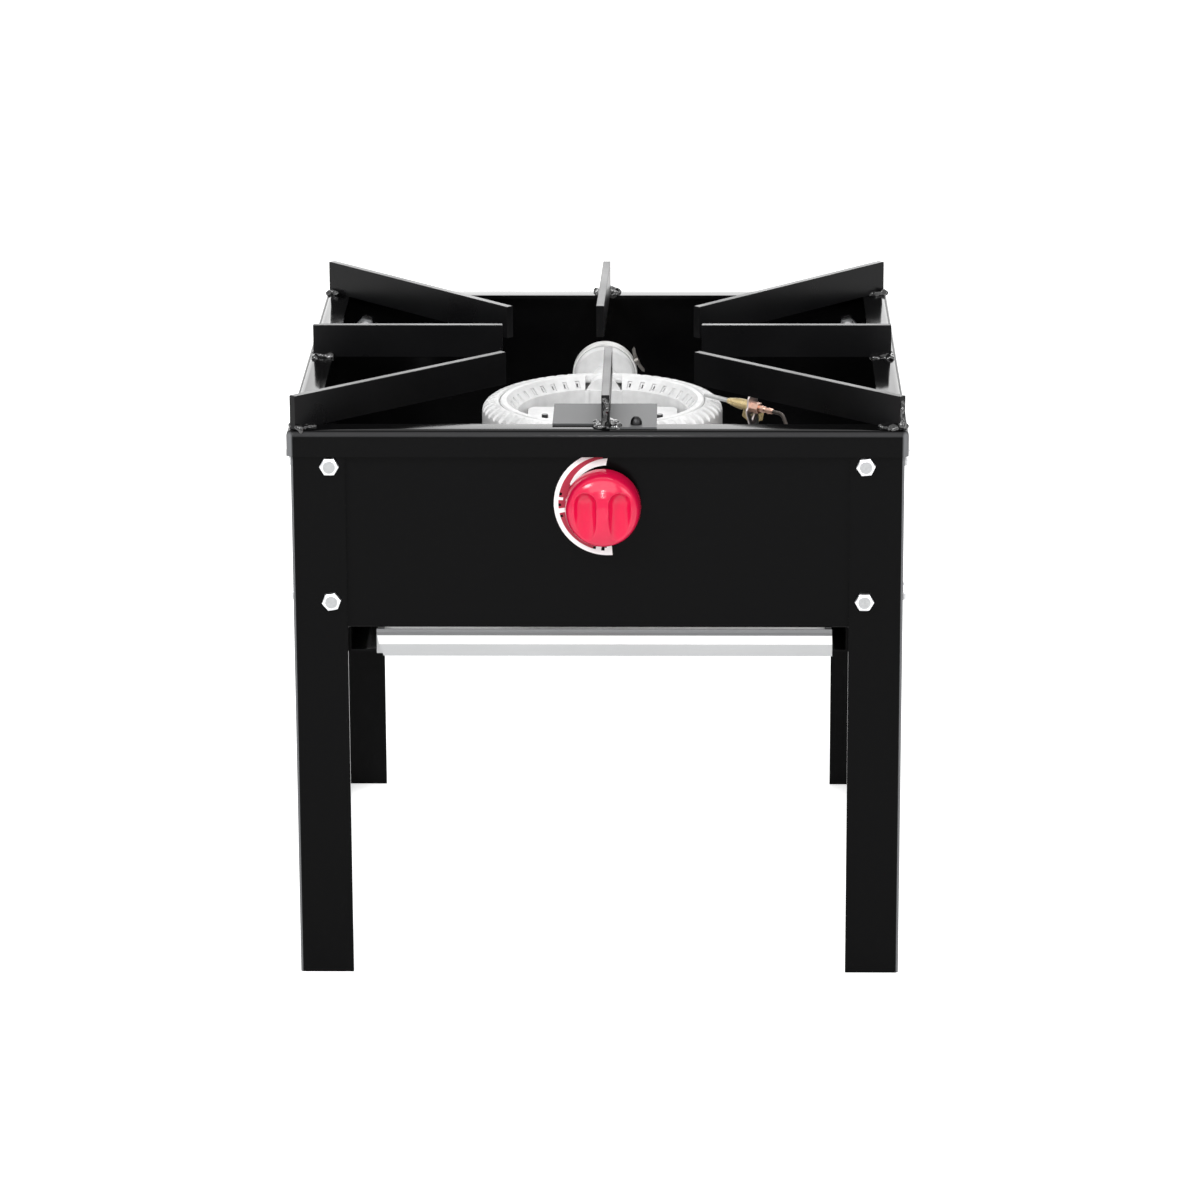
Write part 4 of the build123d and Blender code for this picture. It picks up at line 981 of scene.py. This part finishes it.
class KnobOperator(bpy.types.Operator):
    """Model the moulded knob: turned outline, two scooped cheeks and the upright grip between them"""
    bl_idname = "stove.knob"
    bl_label = "Knob"

    def execute(self, context):
        sizes = context.scene.stove_sizes
        radius = (knob_high.x - knob_low.x) / 2
        deep = knob_high.y - knob_low.y
        bore = sizes.knob_bore / 2
        bore_end = knob_high.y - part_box("spindle")[0].y + 1 * MM
        floor = sizes.knob_floor
        hollow = radius - sizes.knob_wall
        # radius and height above the back, from the bore round the skirt to the middle of the face
        outline = [(0, bore_end), (bore, bore_end), (bore, floor), (hollow, floor), (hollow, 0),
                   (radius, 0), (radius, 8 * MM), (radius - 0.5 * MM, 13 * MM),
                   (radius - 1.2 * MM, 17 * MM), (radius - 2 * MM, 19.4 * MM),
                   (radius - 3.4 * MM, 21.2 * MM), (radius - 6 * MM, 22.8 * MM),
                   (radius - 10 * MM, 24.6 * MM), (radius - 16 * MM, 26.5 * MM),
                   (radius - 22 * MM, 27.6 * MM), (0, deep)]
        piece = self.lathe(context, outline)
        # a hollow leans out of the face towards the knob's lower side
        lean = Matrix.Rotation(-sizes.scoop_lean, 4, "X")
        for way in (-1, 1):
            scoop = self.scoop(context, sizes)
            at = (way * sizes.scoop_aside, sizes.scoop_up, sizes.scoop_high)
            scoop.matrix_world = Matrix.Translation(at) @ lean
            modify(piece, "BOOLEAN", operation="DIFFERENCE", object=scoop, solver="EXACT")
            bpy.data.objects.remove(scoop)
        modify(piece, "REMESH", mode="VOXEL", voxel_size=0.55 * MM)
        modify(piece, "SMOOTH", factor=0.5, iterations=6)
        piece.matrix_world = (Matrix.Translation((knob_x, knob_high.y, knob_z))
                              @ Matrix.Rotation(math.pi / 2, 4, "X"))
        plastic = moulded_plastic("moulded_phenolic_red", list(context.scene.stove_colours.knob), 0.15)
        settle(piece, "knob_moulded", plastic, "knob", 60, ["knob"])
        return {"FINISHED"}

    def lathe(self, context, outline):
        """Turn an outline of radius and height about the vertical axis."""
        deselect()
        bpy.ops.mesh.primitive_plane_add(size=2 * MM)
        piece = context.active_object
        choose(piece, lambda vertex: vertex.index > 0, "VERT")
        bpy.ops.mesh.delete(type="VERT")
        bpy.ops.mesh.select_all(action="SELECT")
        start = piece.data.vertices[0].co.copy()
        bpy.ops.transform.translate(value=(outline[0][0] - start.x, -start.y, outline[0][1] - start.z))
        for (r, h), (next_r, next_h) in zip(outline, outline[1:]):
            bpy.ops.mesh.extrude_region_move(TRANSFORM_OT_translate={"value": (next_r - r, 0, next_h - h)})
        bpy.ops.mesh.select_all(action="SELECT")
        bpy.ops.mesh.spin(steps=96, angle=2 * math.pi, center=(0, 0, 0), axis=(0, 0, 1))
        bpy.ops.mesh.select_all(action="SELECT")
        bpy.ops.mesh.remove_doubles(threshold=0.01 * MM)
        bpy.ops.mesh.normals_make_consistent(inside=False)
        leave_edit()
        return piece

    def scoop(self, context, sizes):
        """The form of one cheek's hollow: round at its top and long below, along Y."""
        deselect()
        bpy.ops.mesh.primitive_uv_sphere_add(segments=48, ring_count=24, radius=sizes.scoop_radius,
                                             rotation=(math.pi / 2, 0, 0))
        piece = context.active_object
        apply_place(piece)
        # all below its middle row is drawn out past the knob's rim
        below, drawn = 0.1 * MM, 40 * MM
        choose(piece, lambda vertex: vertex.co.y < -below, "VERT")
        bpy.ops.transform.translate(value=(0, -drawn, 0))
        leave_edit()
        return piece


OPERATORS = [StageOperator, AngleFrameOperator, EnamelOperator, BurnerOperator, GasFittingsOperator,
             SheetOperator, BoltsOperator, WeldsOperator, DialOperator, KnobOperator]


class StovePanel(bpy.types.Panel):
    """The stove's colours, sizes and operators in the sidebar"""
    bl_idname = "VIEW3D_PT_gas_stove"
    bl_label = "Gas stove"
    bl_space_type = "VIEW_3D"
    bl_region_type = "UI"
    bl_category = "Gas stove"

    def draw(self, context):
        for group in (context.scene.stove_colours, context.scene.stove_sizes):
            for name in group.__annotations__:
                self.layout.prop(group, name)
        for operator in OPERATORS:
            self.layout.operator(operator.bl_idname)


CLASSES = [StoveColours, StoveSizes, *OPERATORS, StovePanel]


def register():
    for made in CLASSES:
        bpy.utils.register_class(made)
    bpy.types.Scene.stove_colours = bpy.props.PointerProperty(type=StoveColours)
    bpy.types.Scene.stove_sizes = bpy.props.PointerProperty(type=StoveSizes)


def unregister():
    del bpy.types.Scene.stove_sizes
    del bpy.types.Scene.stove_colours
    for made in reversed(CLASSES):
        bpy.utils.unregister_class(made)


def main():
    register()
    for operator in OPERATORS:
        group, name = operator.bl_idname.split(".")
        getattr(getattr(bpy.ops, group), name)()


if __name__ == "__main__":
    main()
